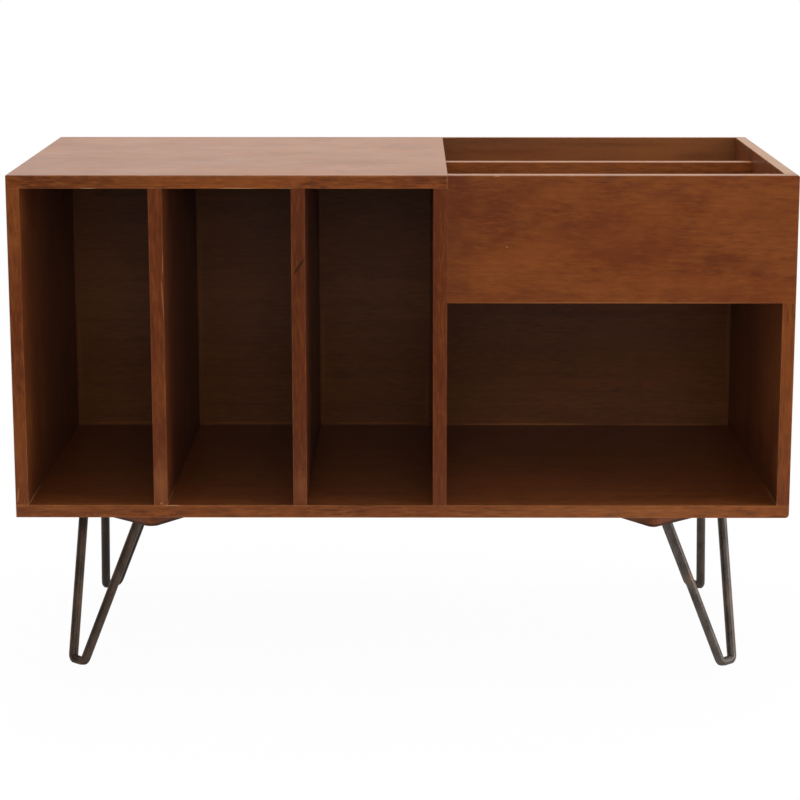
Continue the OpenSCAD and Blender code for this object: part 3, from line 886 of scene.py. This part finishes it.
class RECORDSTAND_OT_back_panel(BoardLook, bpy.types.Operator):
    """Make the back panel, stepped up to the rim behind the bin"""

    bl_idname = "recordstand.back_panel"
    bl_label = "Back panel"

    def execute(self, context):
        foot = FLOOR_FACE + 0.0012
        marks = [
            Mark((0.185, BACK_FACE, foot), (0.13, 0.003, 0.0022), "rubbed", 0.75, 0, 0.5),
            Mark((0.40, BACK_FACE, foot), (0.09, 0.003, 0.0018), "rubbed", 0.45, 0, 0.5),
            Mark((0.0, BACK_FACE, 0.44), (2.0, 0.05, 2.0), "bare", 0.1, 0, 0.0, 0.9),
            # Painted light: the back panel's wall inside the bin is lightened, most at its right end
            # where the right side shades it
            Mark((0.30, BACK_FACE, 0.62), (0.30, 0.02, 0.10), "rubbed", 0.3, 0, 0.6, 0.3),
            Mark((0.41, BACK_FACE, 0.63), (0.13, 0.02, 0.10), "rubbed", 0.4, 0, 0.6, 0.2),
            Mark((0.15, BACK_FACE, 0.652), (0.12, 0.02, 0.012), "reddish", 0.5, 0, 1.0, -0.2),
            Mark((0.31, BACK_FACE, 0.664), (0.14, 0.02, 0.006), "streak", 0.35, 0, 1.0, -0.2),
            Mark((0.44, BACK_FACE, 0.646), (0.06, 0.02, 0.010), "streak", 0.35, 0, 1.0, -0.2),
        ]
        # Amber lines at the foot of each slot's back and up its left corner, where the stain is thin
        walls = ["left_side", "record_divider_left", "record_divider_right", "centre_partition"]
        for left, right, climb in zip(walls, walls[1:], (0.10, 0.19, 0.11)):
            start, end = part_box(left)[1].x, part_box(right)[0].x
            marks += [
                Mark(((start + end) / 2, BACK_FACE, foot + 0.002), (0.09, 0.003, 0.0022),
                     "rubbed", 0.6, 0, 0.4),
                Mark((start + 0.005, BACK_FACE, foot + climb), (0.0026, 0.003, climb),
                     "rubbed", 0.32, 0, 0.4, 0.2),
            ]
        marks += [
            Mark((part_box("right_side")[0].x - 0.004, BACK_FACE, 0.37), (0.0028, 0.003, 0.14),
                 "rubbed", 0.4, 0, 0.4, 0.2),
            Mark((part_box("centre_partition")[0].x - 0.005, BACK_FACE, foot + 0.04),
                 (0.0026, 0.003, 0.05), "rubbed", 0.4, 0, 0.4, 0.2),
        ]
        return make_board(context, self, "back_panel", "X", (), marks)


class RECORDSTAND_OT_bin_front(BoardLook, bpy.types.Operator):
    """Make the bin's fixed front panel"""

    bl_idname = "recordstand.bin_front"
    bl_label = "Bin front"

    def execute(self, context):
        marks = [
            Mark((0.4675, BIN_INSIDE - 0.001, TOP_FACE), (0.004, 0.003, 0.0012), "bare", 0.9),
            Mark((0.121, FRONT, TOP_FACE - 0.001), (0.005, 0.002, 0.0014), "bare", 0.35),
            Mark((0.1345, FRONT, 0.5816), (0.0012, 0.002, 0.0008), "bare", 0.8),
            Mark((0.28, FRONT, BIN_EDGE + 0.0006), (0.23, 0.0014, 0.0011), "rubbed", 0.5, 0, 0.4),
            Mark((0.062, FRONT, 0.585), (0.045, 0.03, 0.13), "streak", 0.35, 0, 1.0, -0.3),
            Mark((0.265, FRONT, 0.590), (0.15, 0.03, 0.034), "golden", 0.45, -0.22, 1.2, -0.3),
            Mark((0.415, FRONT, 0.560), (0.11, 0.03, 0.022), "streak", 0.2, -0.1, 1.2, -0.3),
            Mark((0.15, FRONT, 0.562), (0.10, 0.03, 0.045), "golden", 0.5, -0.5, 1.0, -0.3),
            Mark((0.37, FRONT, 0.530), (0.17, 0.03, 0.026), "golden", 0.5, 0.06, 1.0, -0.3),
            Mark((0.47, FRONT, 0.625), (0.06, 0.03, 0.04), "streak", 0.22, 0.2, 1.0, -0.3),
            # Painted highlight: the bin front's top face is lightened evenly toward bare wood
            Mark((0.274, FRONT + 0.0085, TOP_FACE + 0.001), (0.36, 0.03, 0.003), "bare", 0.2, 0, 0.5),
        ]
        return make_board(context, self, "bin_front", "X", [(0, BAY_LEFT)], marks)


class RECORDSTAND_OT_bin_floor(BoardLook, bpy.types.Operator):
    """Make the bin's floor, which closes the bay above"""

    bl_idname = "recordstand.bin_floor"
    bl_label = "Bin floor"

    def execute(self, context):
        return make_board(context, self, "bin_floor", "X")


class RECORDSTAND_OT_bin_divider(BoardLook, bpy.types.Operator):
    """Make the bin's divider, parallel to its front"""

    bl_idname = "recordstand.bin_divider"
    bl_label = "Bin divider"

    def execute(self, context):
        face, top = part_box("bin_divider")[0].y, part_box("bin_divider")[1].z
        marks = [
            # Painted light on the divider's front face, which stands in the bin's shade
            Mark((0.24, face, 0.60), (0.30, 0.02, 0.12), "rubbed", 0.4, 0, 0.6, 0.2),
            # Painted highlight: the divider's top face is lightened evenly toward bare wood
            Mark((0.274, 0.0635, top + 0.001), (0.4, 0.03, 0.003), "bare", 0.16, 0, 0.5),
        ]
        return make_board(context, self, "bin_divider", "X", (), marks)


class RECORDSTAND_OT_leg_blocks(BoardLook, bpy.types.Operator):
    """Make the four wooden blocks under the case"""

    bl_idname = "recordstand.leg_blocks"
    bl_label = "Leg blocks"

    def execute(self, context):
        for corner, (end, side) in CORNERS.items():
            grain = "DIAGONAL" if end * side < 0 else "COUNTER"
            low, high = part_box("leg_block_" + corner)
            middle = (low + high) / 2
            # Painted shadow: a dark band along each block's lowest few millimetres, where it sits on the
            # plate
            marks = [Mark((middle.x, middle.y, low.z + 0.0016), (0.4, 0.4, 0.0030),
                          "pore", 0.85, 0, 0.3, 0.4)]
            if corner == "front_right":
                marks.append(Mark((low.x, low.y, middle.z), (0.06, 0.07, 0.03),
                                  "rubbed", 0.65, 0, 1.0, 0.0))
            make_board(context, self, "leg_block_" + corner, grain, [(2, UNDERSIDE)], marks)
        return {"FINISHED"}


# ---- legs

class RECORDSTAND_OT_leg_plates(bpy.types.Operator):
    """Make the four steel plates between the rods and the blocks"""

    bl_idname = "recordstand.leg_plates"
    bl_label = "Leg plates"
    bl_options = {"REGISTER", "UNDO"}

    ease: LengthProperty(
        name="Edge", description="Rounding of the sheared edges",
        min=0.0001, max=0.001, default=0.0004)

    def execute(self, context):
        steel = bronzed_steel("bronzed plate", context.scene.record_stand_legs)
        for corner in CORNERS:
            node = "leg_plate_" + corner
            bm = own_mesh(node)
            rim = [e for e in bm.edges if e.is_convex and e.calc_face_angle(0.0) > SQUARE_ABOVE
                   and abs(e.verts[0].co.z - e.verts[1].co.z) < LEVEL]
            bevel(bm, rim, self.ease, 2)
            finish_piece(bm, "bronzed_" + node, node, steel)
        return {"FINISHED"}


PRESSED = 0.003    # how far the foot is pressed flat underneath
THINNED = 0.0001   # how much the rod's radius shrinks round its bends
BEND_STEPS = 12    # stations round each bend
STRAIGHT = (0.02, 0.06, 0.2, 0.4, 0.6, 0.8, 0.94)  # stations up the straight, as shares of its length
BEAD_STEPS = 12    # stations up each weld
BEAD_HEIGHT, BEAD_WIDTH = 0.008, 0.004  # how far a weld runs down its rod, and out over its plate
BEAD_START = 0.0002  # how far a weld stands out where it begins, and stays short of its full width
BEAD_CURVE = 2.4   # how late the weld swells on its way up: 1 is a plain cone
BEAD_RIPPLE = 0.00042  # depth of the ripples in the weld
BEAD_LOBES, BEAD_TWIST = 5, 5.5  # ripples in half a turn, and how far they wind on the way up
MOST_DRIFT = 0.004  # how far a rod's box may be from its node's

# The lacquer on each leg, with painted light and shade: how dark it is (paler and greyer on the front
# right leg for painted light from the right, darker on the rear left leg for painted shadow under the
# case), how much rust shows, how grey it is and how metallic
LACQUER_AND_PAINTED_LIGHT = {
    "front_left": (-0.1, 0.8, -0.3, 0.5),
    "front_right": (-0.7, 0.5, 0.4, 0.66),
    "rear_left": (0.72, 0.7, -1.0, 0.2),
    "rear_right": (0.05, 0.3, 0.1, 0.6),
}


def corner_matrix(legs, end, side):
    """From a leg's own frame, foot at the origin and +Y inwards, to one corner of the case."""
    foot = Vector((LEFT_END + legs.foot_in[0], FRONT + legs.foot_in[1], 0))
    angle = legs.rear_turn if side > 0 else legs.front_turn
    turn = Matrix.Translation(foot) @ Matrix.Rotation(-angle, 4, "Z")
    return Matrix.Diagonal((-end, -side, 1, 1)) @ turn


def hairpin_line(legs, plate_z):
    """Stations from the middle of the foot up one rod, in the leg's plane: point, direction and radius.

    Returns the stations, the rod's end in its plate, and its direction there.
    """
    rod = legs.rod / 2
    thin = rod - THINNED
    bend = legs.bend + rod
    run_h = (thin - PRESSED) / math.cos(legs.splay)
    bend_h = run_h + bend
    reach = (legs.spread - legs.run) / 2
    rise = plate_z / math.cos(legs.splay) - bend_h
    chord = math.hypot(reach, rise)
    lean = math.atan2(reach, rise) - math.asin(bend / chord)
    length = math.sqrt(chord ** 2 - bend ** 2)
    middle = Vector((legs.run / 2, 0, bend_h))
    up = Vector((math.sin(lean), 0, math.cos(lean)))
    start = middle + bend * Vector((math.cos(lean), 0, -math.sin(lean)))
    half = [(Vector((0, 0, run_h)), Vector((1, 0, 0)), thin)]
    for i in range(BEND_STEPS + 1):
        angle = -math.pi / 2 + (math.pi / 2 - lean) * i / BEND_STEPS
        out = Vector((math.cos(angle), 0, math.sin(angle)))
        half.append((middle + bend * out, Vector((-out.z, 0, out.x)), thin))
    for share in STRAIGHT:
        half.append((start + up * length * share, up, rod))
    return half, start + up * length, up


def bead_radii(rod, share, around):
    """Radii round a rod and its weld, some share of the way up the weld."""
    swell = BEAD_START + (BEAD_WIDTH - 2 * BEAD_START) * share ** BEAD_CURVE
    depth = BEAD_RIPPLE * share * (1 - 0.5 * share)
    return [rod + swell + depth * abs(math.sin(BEAD_LOBES * a + BEAD_TWIST * share))
            for a in angles(around)]


def hairpin_mesh(legs, plate_z, around):
    """One bent rod with its two welds, in the leg's own frame."""
    half, end, up = hairpin_line(legs, plate_z)
    tilt = Matrix.Rotation(-legs.splay, 4, "X")
    side = Vector((0, 1, 0))

    def ring(centre, way, radii):
        across = side.cross(way)
        return [tilt @ (centre + radius * (math.cos(a) * across + math.sin(a) * side))
                for radius, a in zip(radii, angles(around))]

    rings = [ring(centre, way, [radius] * around) for centre, way, radius in half]
    way = tilt @ up
    for k in range(BEAD_STEPS + 1):
        share = k / BEAD_STEPS
        radii = bead_radii(legs.rod / 2, share, around)
        flat = [p + way * ((plate_z - p.z) / way.z) for p in ring(end, up, radii)]
        rings.append([p - way * BEAD_HEIGHT * (1 - share) for p in flat])
    mirrored = [[Vector((-p.x, p.y, p.z)) for p in points] for points in reversed(rings[1:])]
    bm = bmesh.new()
    skin(bm, [[bm.verts.new((p.x, p.y, max(p.z, 0.0))) for p in points]
              for points in mirrored + rings])
    return bm


class RECORDSTAND_OT_hairpin_rods(bpy.types.Operator):
    """Bend and weld the four hairpin legs"""

    bl_idname = "recordstand.hairpin_rods"
    bl_label = "Hairpin rods"
    bl_options = {"REGISTER", "UNDO"}

    around: IntProperty(
        name="Facets", description="Facets around the rod", min=12, max=96, default=40)

    def execute(self, context):
        legs = context.scene.record_stand_legs
        plate_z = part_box("leg_plate_front_left")[0].z
        for corner, (end, side) in CORNERS.items():
            node = "hairpin_rod_" + corner
            # Each rod's lacquer carries the painted light or shade of its corner's row in the table
            steel = bronzed_steel(f"bronzed {corner.replace('_', ' ')} rod", legs, *LACQUER_AND_PAINTED_LIGHT[corner])
            bm = hairpin_mesh(legs, plate_z, self.around)
            bm.transform(corner_matrix(legs, end, side))
            piece = finish_piece(bm, "bronzed_" + node, node, steel, weighted=False)
            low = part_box(node)[0]
            corners = [piece.matrix_world @ Vector(c) for c in piece.bound_box]
            drift = max(abs(min(c[a] for c in corners) - low[a]) for a in range(3))
            if drift > MOST_DRIFT:
                raise RuntimeError(f"{piece.name} is {drift * 1000:.1f} mm from its node")
        return {"FINISHED"}


# Profiles of the screws' heads, from the rim of the face down to the shank: radius and height
PAN_HEAD = [(0.0029, 0.0), (0.0037, 0.0003), (0.00415, 0.0010), (0.0042, 0.0026), (0.00195, 0.0026)]
BLOCK_HEAD = [(0.0041, 0.0), (0.0042, 0.0001), (0.0020, 0.0022)]
BACK_HEAD = [(0.0029, 0.0), (0.0030, 0.0001), (0.0015, 0.0015)]

# Each kind of screw: its node, its piece, its head, its shank's radius, and the way its head faces
SCREWS = [
    ("plate_screws", "pan_head_plate_screws", PAN_HEAD, 0.00195, Vector((0, 0, -1))),
    ("block_screws", "countersunk_block_screws", BLOCK_HEAD, 0.00195, Vector((0, 0, -1))),
    ("back_screws", "countersunk_back_screws", BACK_HEAD, 0.00145, Vector((0, 1, 0))),
]
NECK, PITCH = 0.0006, 0.0017  # plain length under a head, and distance between two threads
CORE = 0.72          # radius at the root of the thread, as a share of the shank's
POINT = 2.4          # length of the point, in radii of the shank
BLUNT = 0.0002       # radius of the point's blunt end
CROSS_REACH, CROSS_HALF = 0.72, 0.15  # half length and half width of the cross, in radii of the face
CROSS_DEPTH = 0.75   # depth of the cross, in radii of the shank
CROSS_TAPER = 0.45   # size of the cross at its bottom, as a share of its size at the face
CROSS_PROUD = 0.001  # how far the cutter starts above the face
FACETS = 28          # facets round a screw
SPIN = 2.4           # angle between the crosses of two neighbouring screws
HEAD_FACE = 2e-5     # corners this near to the furthest one belong to the face of the head


def screw_body(head, shank_r, length):
    """Bmesh of a threaded screw along +Z, made by turning its profile."""
    profile = [(0.0, head[0][1])] + head
    core = shank_r * CORE
    height = head[-1][1] + NECK
    tip = length - POINT * shank_r
    while height < tip:
        profile += [(core, height), (shank_r, height + PITCH * 0.5), (core, height + PITCH * 0.9)]
        height += PITCH
    profile += [(core, tip), (BLUNT, length), (0.0, length)]
    bm = lathe(profile, FACETS)
    bmesh.ops.recalc_face_normals(bm, faces=bm.faces)
    return bm


def cross_cutter(head, shank_r):
    """Bmesh of the tapered cross that is cut out of a head."""
    bm = bmesh.new()
    face_r, face_h = head[0]
    reach, half = face_r * CROSS_REACH, face_r * CROSS_HALF
    for x, y in ((reach, half), (half, reach)):
        for v in bmesh.ops.create_cube(bm, size=1.0)["verts"]:
            inside = v.co.z > 0
            taper = CROSS_TAPER if inside else 1.0
            v.co = Vector((v.co.x * 2 * x * taper, v.co.y * 2 * y * taper,
                           face_h + shank_r * CROSS_DEPTH if inside else face_h - CROSS_PROUD))
    return bm


def screw_mesh(head, shank_r, length):
    """Bmesh of a screw with a cross recess cut in its head."""
    screw = new_object("screw body", new_mesh("screw body", screw_body(head, shank_r, length)))
    cross = new_object("cross recess", new_mesh("cross recess", cross_cutter(head, shank_r)))
    cut = screw.modifiers.new("Recess", "BOOLEAN")
    cut.object, cut.operation, cut.solver, cut.use_self = cross, "DIFFERENCE", "EXACT", True
    bpy.context.view_layer.update()
    bm = bmesh.new()
    bm.from_mesh(screw.evaluated_get(bpy.context.evaluated_depsgraph_get()).to_mesh())
    for mesh in (screw.data, cross.data):
        bpy.data.meshes.remove(mesh)  # its object goes with it
    return bm


def head_places(node, away):
    """Middle of the head of each screw in a node: the mean of the corners that lie furthest one way."""
    bm = own_mesh(node)
    places = []
    for island in islands(bm):
        far = max(v.co.dot(away) for v in island)
        rim = [v.co for v in island if v.co.dot(away) > far - HEAD_FACE]
        places.append(sum(rim, Vector()) / len(rim))
    bm.free()
    return sorted(places, key=lambda p: tuple(round(c, 5) for c in p))


class RECORDSTAND_OT_screws(bpy.types.Operator):
    """Drive the screws of the plates, the blocks and the back panel"""

    bl_idname = "recordstand.screws"
    bl_label = "Screws"
    bl_options = {"REGISTER", "UNDO"}

    turned: BoolProperty(
        name="Turned slots", description="Leave each screw's cross at its own angle", default=True)

    def execute(self, context):
        zinc = zinc_plate("zinc plated screw", context.scene.record_stand_legs)
        for node, name, head, shank_r, away in SCREWS:
            low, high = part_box(node)
            length = (high.z - low.z) if away.z else (high.y - low.y)
            aim = (-away).to_track_quat("Z", "Y").to_matrix().to_4x4()
            places = []
            for i, p in enumerate(head_places(node, away)):
                spin = Matrix.Rotation((i * SPIN) % (math.pi / 2) if self.turned else 0, 4, "Z")
                places.append(Matrix.Translation(p) @ aim @ spin)
            bm = copies(screw_mesh(head, shank_r, length), places)
            finish_piece(bm, name, node, zinc, weighted=False)
        return {"FINISHED"}


EASED_END, END_SHARE = 0.0012, 0.8  # length of a dowel's eased end, and the end's share of the radius
FLUTE_SHARE = 0.95                  # radius at the bottom of a flute, as a share of the dowel's


class RECORDSTAND_OT_dowels(bpy.types.Operator):
    """Cut the fluted dowels that join the boards"""

    bl_idname = "recordstand.dowels"
    bl_label = "Dowels"
    bl_options = {"REGISTER", "UNDO"}

    flutes: IntProperty(
        name="Flutes", description="Glue grooves along each dowel", min=6, max=24, default=12)

    def execute(self, context):
        beech = raw_beech("raw dowel wood")
        for node in ("case_dowels", "bin_dowels"):
            bm = self.fluted(node)
            finish_piece(bm, "fluted_" + node, node, beech, weighted=False)
        return {"FINISHED"}

    def fluted(self, node):
        """Turns each smooth dowel of a node into one with flutes and eased ends."""
        source, bm = own_mesh(node), bmesh.new()
        for island in islands(source):
            low = Vector([min(v.co[a] for v in island) for a in range(3)])
            high = Vector([max(v.co[a] for v in island) for a in range(3)])
            size = list(high - low)
            axis = size.index(max(size))
            radius, length = size[(axis + 1) % 3] / 2, size[axis]
            way = Vector([1.0 if a == axis else 0.0 for a in range(3)])
            aim = way.to_track_quat("Z", "Y").to_matrix().to_4x4()
            self.cut(bm, radius, length, Matrix.Translation((low + high) / 2 - way * length / 2) @ aim)
        source.free()
        return bm

    def cut(self, bm, radius, length, place):
        """Adds one dowel that runs along Z of its place."""
        rows = []
        for height, share in ((0, END_SHARE), (EASED_END, 1.0), (length - EASED_END, 1.0),
                              (length, END_SHARE)):
            row = []
            for i, a in enumerate(angles(self.flutes * 4)):
                r = radius * share * (FLUTE_SHARE if i % 4 == 0 else 1.0)
                row.append(bm.verts.new(place @ Vector((r * math.cos(a), r * math.sin(a), height))))
            rows.append(row)
        skin(bm, rows)


# ---- stage

# Each lamp: its name, its setting, its width and height, its place, and what it points at
LAMPS = [
    ("overhead lamp", "overhead", (2.6, 1.6), (0.0, 0.35, 2.7), (0, 0.35, 0.3)),
    ("side lamp", "side_lamp", (1.3, 1.2), (2.35, -0.8, 0.85), (0, 0, 0.3)),
    ("front lamp", "front_lamp", (2.4, 1.4), (0.2, -4.0, 1.68), (0, 0, 0.45)),
]
FLOOR_HALF, FLOOR_PLACE = (3.2, 2.4, 1), (0, 1.1, -0.0002)  # the feet stand 0.2 mm clear of it

# The camera, as it was solved from the photograph: metres, degrees, and millimetres for its lens
CAMERA_PLACE = (0.00877, -3.01841, 1.02420)
YAW, DOWN, ROLL = -0.241, 10.544, -0.010
LENS, SENSOR = 98.915, 36.0
SHIFT_UP = -0.118  # share of the frame's width
FARTHEST = 60      # metres that it sees


class RECORDSTAND_OT_stage(bpy.types.Operator):
    """Set the pale floor, the white surroundings, the lamps and the camera"""

    bl_idname = "recordstand.stage"
    bl_label = "Stage"
    bl_options = {"REGISTER", "UNDO"}

    def execute(self, context):
        stage = context.scene.record_stand_stage
        context.scene.view_settings.view_transform = "Standard"
        context.scene.world = self.surroundings(stage)
        self.floor(stage)
        for name, setting, size, place, target in LAMPS:
            self.lamp(name, getattr(stage, setting), size, place, target)
        context.scene.camera = self.camera()
        return {"FINISHED"}

    def surroundings(self, stage):
        """White to the eye; lit evenly; dimmer in the lacquer on the camera's side."""
        world = bpy.data.worlds.new("White studio")
        world.use_nodes = True
        world.node_tree.nodes.clear()
        n = Nodes(world.node_tree)
        path = n.put("LightPath").outputs
        way = n.put("SeparateXYZ", {0: n.put("TexCoord").outputs["Generated"]}).outputs
        from_right = n.plus(way[1], n.times(way[0], 0.25))
        mirrored = n.ease(from_right, -0.25, 0.4, stage.camera_side, 1.0)
        lit = n.between(path["Is Glossy Ray"], stage.ambient, mirrored)
        seen = n.calc("MAXIMUM", path["Is Camera Ray"], path["Is Transmission Ray"])
        back = n.put("Background", {
            "Color": n.blend(path["Is Glossy Ray"], (1, 1, 1), stage.cream),
            "Strength": n.between(seen, lit, 1.0),
        })
        n.put("OutputWorld", {"Surface": back.outputs[0]})
        return world

    def floor(self, stage):
        """Pale floor whose shadow stays faint against the white."""
        bm = bmesh.new()
        bmesh.ops.create_grid(bm, x_segments=8, y_segments=8, size=1.0)
        bmesh.ops.scale(bm, vec=FLOOR_HALF, verts=bm.verts)
        bmesh.ops.translate(bm, vec=FLOOR_PLACE, verts=bm.verts)
        floor = new_object("studio_floor", new_mesh("studio floor", bm))
        floor.data.materials.append(pale_floor("pale floor", stage.floor_white))

    def lamp(self, name, power, size, place, target):
        data = bpy.data.lights.new(name, "AREA")
        data.shape = "RECTANGLE"
        data.size, data.size_y = size
        data.energy = power
        lamp = new_object(name, data)
        lamp.location = place
        lamp.rotation_euler = (Vector(target) - Vector(place)).to_track_quat("-Z", "Y").to_euler()

    def camera(self):
        """Long lens, just right of the middle and above the top, looking a little down."""
        data = bpy.data.cameras.new("camera")
        data.sensor_width = SENSOR
        data.lens = LENS
        data.shift_y = SHIFT_UP
        data.clip_end = FARTHEST
        camera = new_object("camera", data)
        yaw, down, roll = (math.radians(a) for a in (YAW, DOWN, ROLL))
        way = Vector((math.sin(yaw), math.cos(yaw), 0))
        ahead = Vector((way.x * math.cos(down), way.y * math.cos(down), -math.sin(down)))
        level = Vector((way.y, -way.x, 0))
        above = level.cross(ahead)
        right = math.cos(roll) * level + math.sin(roll) * above
        up = math.cos(roll) * above - math.sin(roll) * level
        turn = Matrix((right, up, -ahead)).transposed().to_4x4()
        camera.matrix_world = Matrix.Translation(CAMERA_PLACE) @ turn
        return camera


# ---- panel

PIECES = [
    RECORDSTAND_OT_top_board, RECORDSTAND_OT_bottom_board, RECORDSTAND_OT_left_side,
    RECORDSTAND_OT_right_side, RECORDSTAND_OT_centre_partition, RECORDSTAND_OT_divider_left,
    RECORDSTAND_OT_divider_right, RECORDSTAND_OT_back_panel, RECORDSTAND_OT_bin_front,
    RECORDSTAND_OT_bin_floor, RECORDSTAND_OT_bin_divider, RECORDSTAND_OT_leg_blocks,
    RECORDSTAND_OT_leg_plates, RECORDSTAND_OT_hairpin_rods, RECORDSTAND_OT_screws,
    RECORDSTAND_OT_dowels, RECORDSTAND_OT_stage,
]
SETTINGS = {
    "record_stand_stain": StainSettings,
    "record_stand_edges": EdgeSettings,
    "record_stand_legs": LegSettings,
    "record_stand_stage": StageSettings,
}


class RECORDSTAND_PT_panel(bpy.types.Panel):
    """Lists the stand's pieces and settings"""

    bl_idname = "RECORDSTAND_PT_panel"
    bl_label = "Record storage stand"
    bl_space_type = "VIEW_3D"
    bl_region_type = "UI"
    bl_category = "Record stand"

    def draw(self, context):
        column = self.layout.column(align=True)
        for piece in PIECES:
            column.operator(piece.bl_idname)
        for name, group in SETTINGS.items():
            box = self.layout.box()
            box.label(text=group.__doc__)
            for key in group.__annotations__:
                box.prop(getattr(context.scene, name), key)


def register():
    for name, group in SETTINGS.items():
        bpy.utils.register_class(group)
        setattr(bpy.types.Scene, name, PointerProperty(type=group))
    for piece in PIECES:
        bpy.utils.register_class(piece)
    bpy.utils.register_class(RECORDSTAND_PT_panel)


def unregister():
    bpy.utils.unregister_class(RECORDSTAND_PT_panel)
    for piece in reversed(PIECES):
        bpy.utils.unregister_class(piece)
    for name, group in SETTINGS.items():
        delattr(bpy.types.Scene, name)
        bpy.utils.unregister_class(group)


def main():
    register()
    make = bpy.ops.recordstand
    make.stage()
    make.top_board(
        cloudiness=0.8, streaks=0.6, flecks=0.6, redness=-0.05, depth=-0.13, cut=(0.3, 0.31, 0.12))
    make.bottom_board(
        cloudiness=0.9, streaks=0.42, flecks=0.65, redness=-0.24, depth=-0.02, cut=(1.7, 0.27, 0.21))
    make.left_side(
        rub=0.35, cloudiness=0.9, streaks=0.45, flecks=0.5, redness=-0.03, depth=-0.04,
        cut=(0.9, 0.24, 1.13))
    make.right_side(
        rub=0.4, cloudiness=1.0, streaks=0.5, flecks=0.55, redness=-0.03, depth=0.02,
        cut=(2.6, 0.14, 1.41))
    make.centre_partition(
        rub=0.12, cloudiness=0.8, streaks=0.38, flecks=0.42, redness=0.1, depth=0.06,
        cut=(3.2, 0.19, 0.77))
    make.divider_left(
        rub=0.2, cloudiness=0.8, streaks=0.32, flecks=0.36, redness=0.1, depth=0.03,
        cut=(4.1, 0.29, 0.93))
    make.divider_right(
        rub=0.2, cloudiness=0.8, streaks=0.34, flecks=0.4, redness=0.12, depth=0.14,
        cut=(5.3, 0.22, 0.61))
    make.back_panel(cloudiness=0.4, flecks=0.4, streaks=0.4, depth=0.15, cut=(6.4, 0.12, 0.17))
    make.bin_front(
        rub=0.1, cloudiness=0.85, streaks=0.1, flecks=0.28, tilt=-0.03, cut=(7.7, 0.21, 0.26))
    make.bin_floor(cut=(8.3, 0.16, 0.31))
    # The bin divider's paler stain is painted light, for the light that falls into the bin
    make.bin_divider(
        depth=-0.26, redness=-0.1, cloudiness=0.9, streaks=0.55, flecks=0.6, cut=(9.1, 0.18, 0.11))
    make.leg_blocks(depth=0.04, redness=-0.1, cut=(10.2, 0.17, 0.13))
    make.leg_plates()
    make.hairpin_rods()
    make.screws()
    make.dowels()


if __name__ == "__main__":
    main()
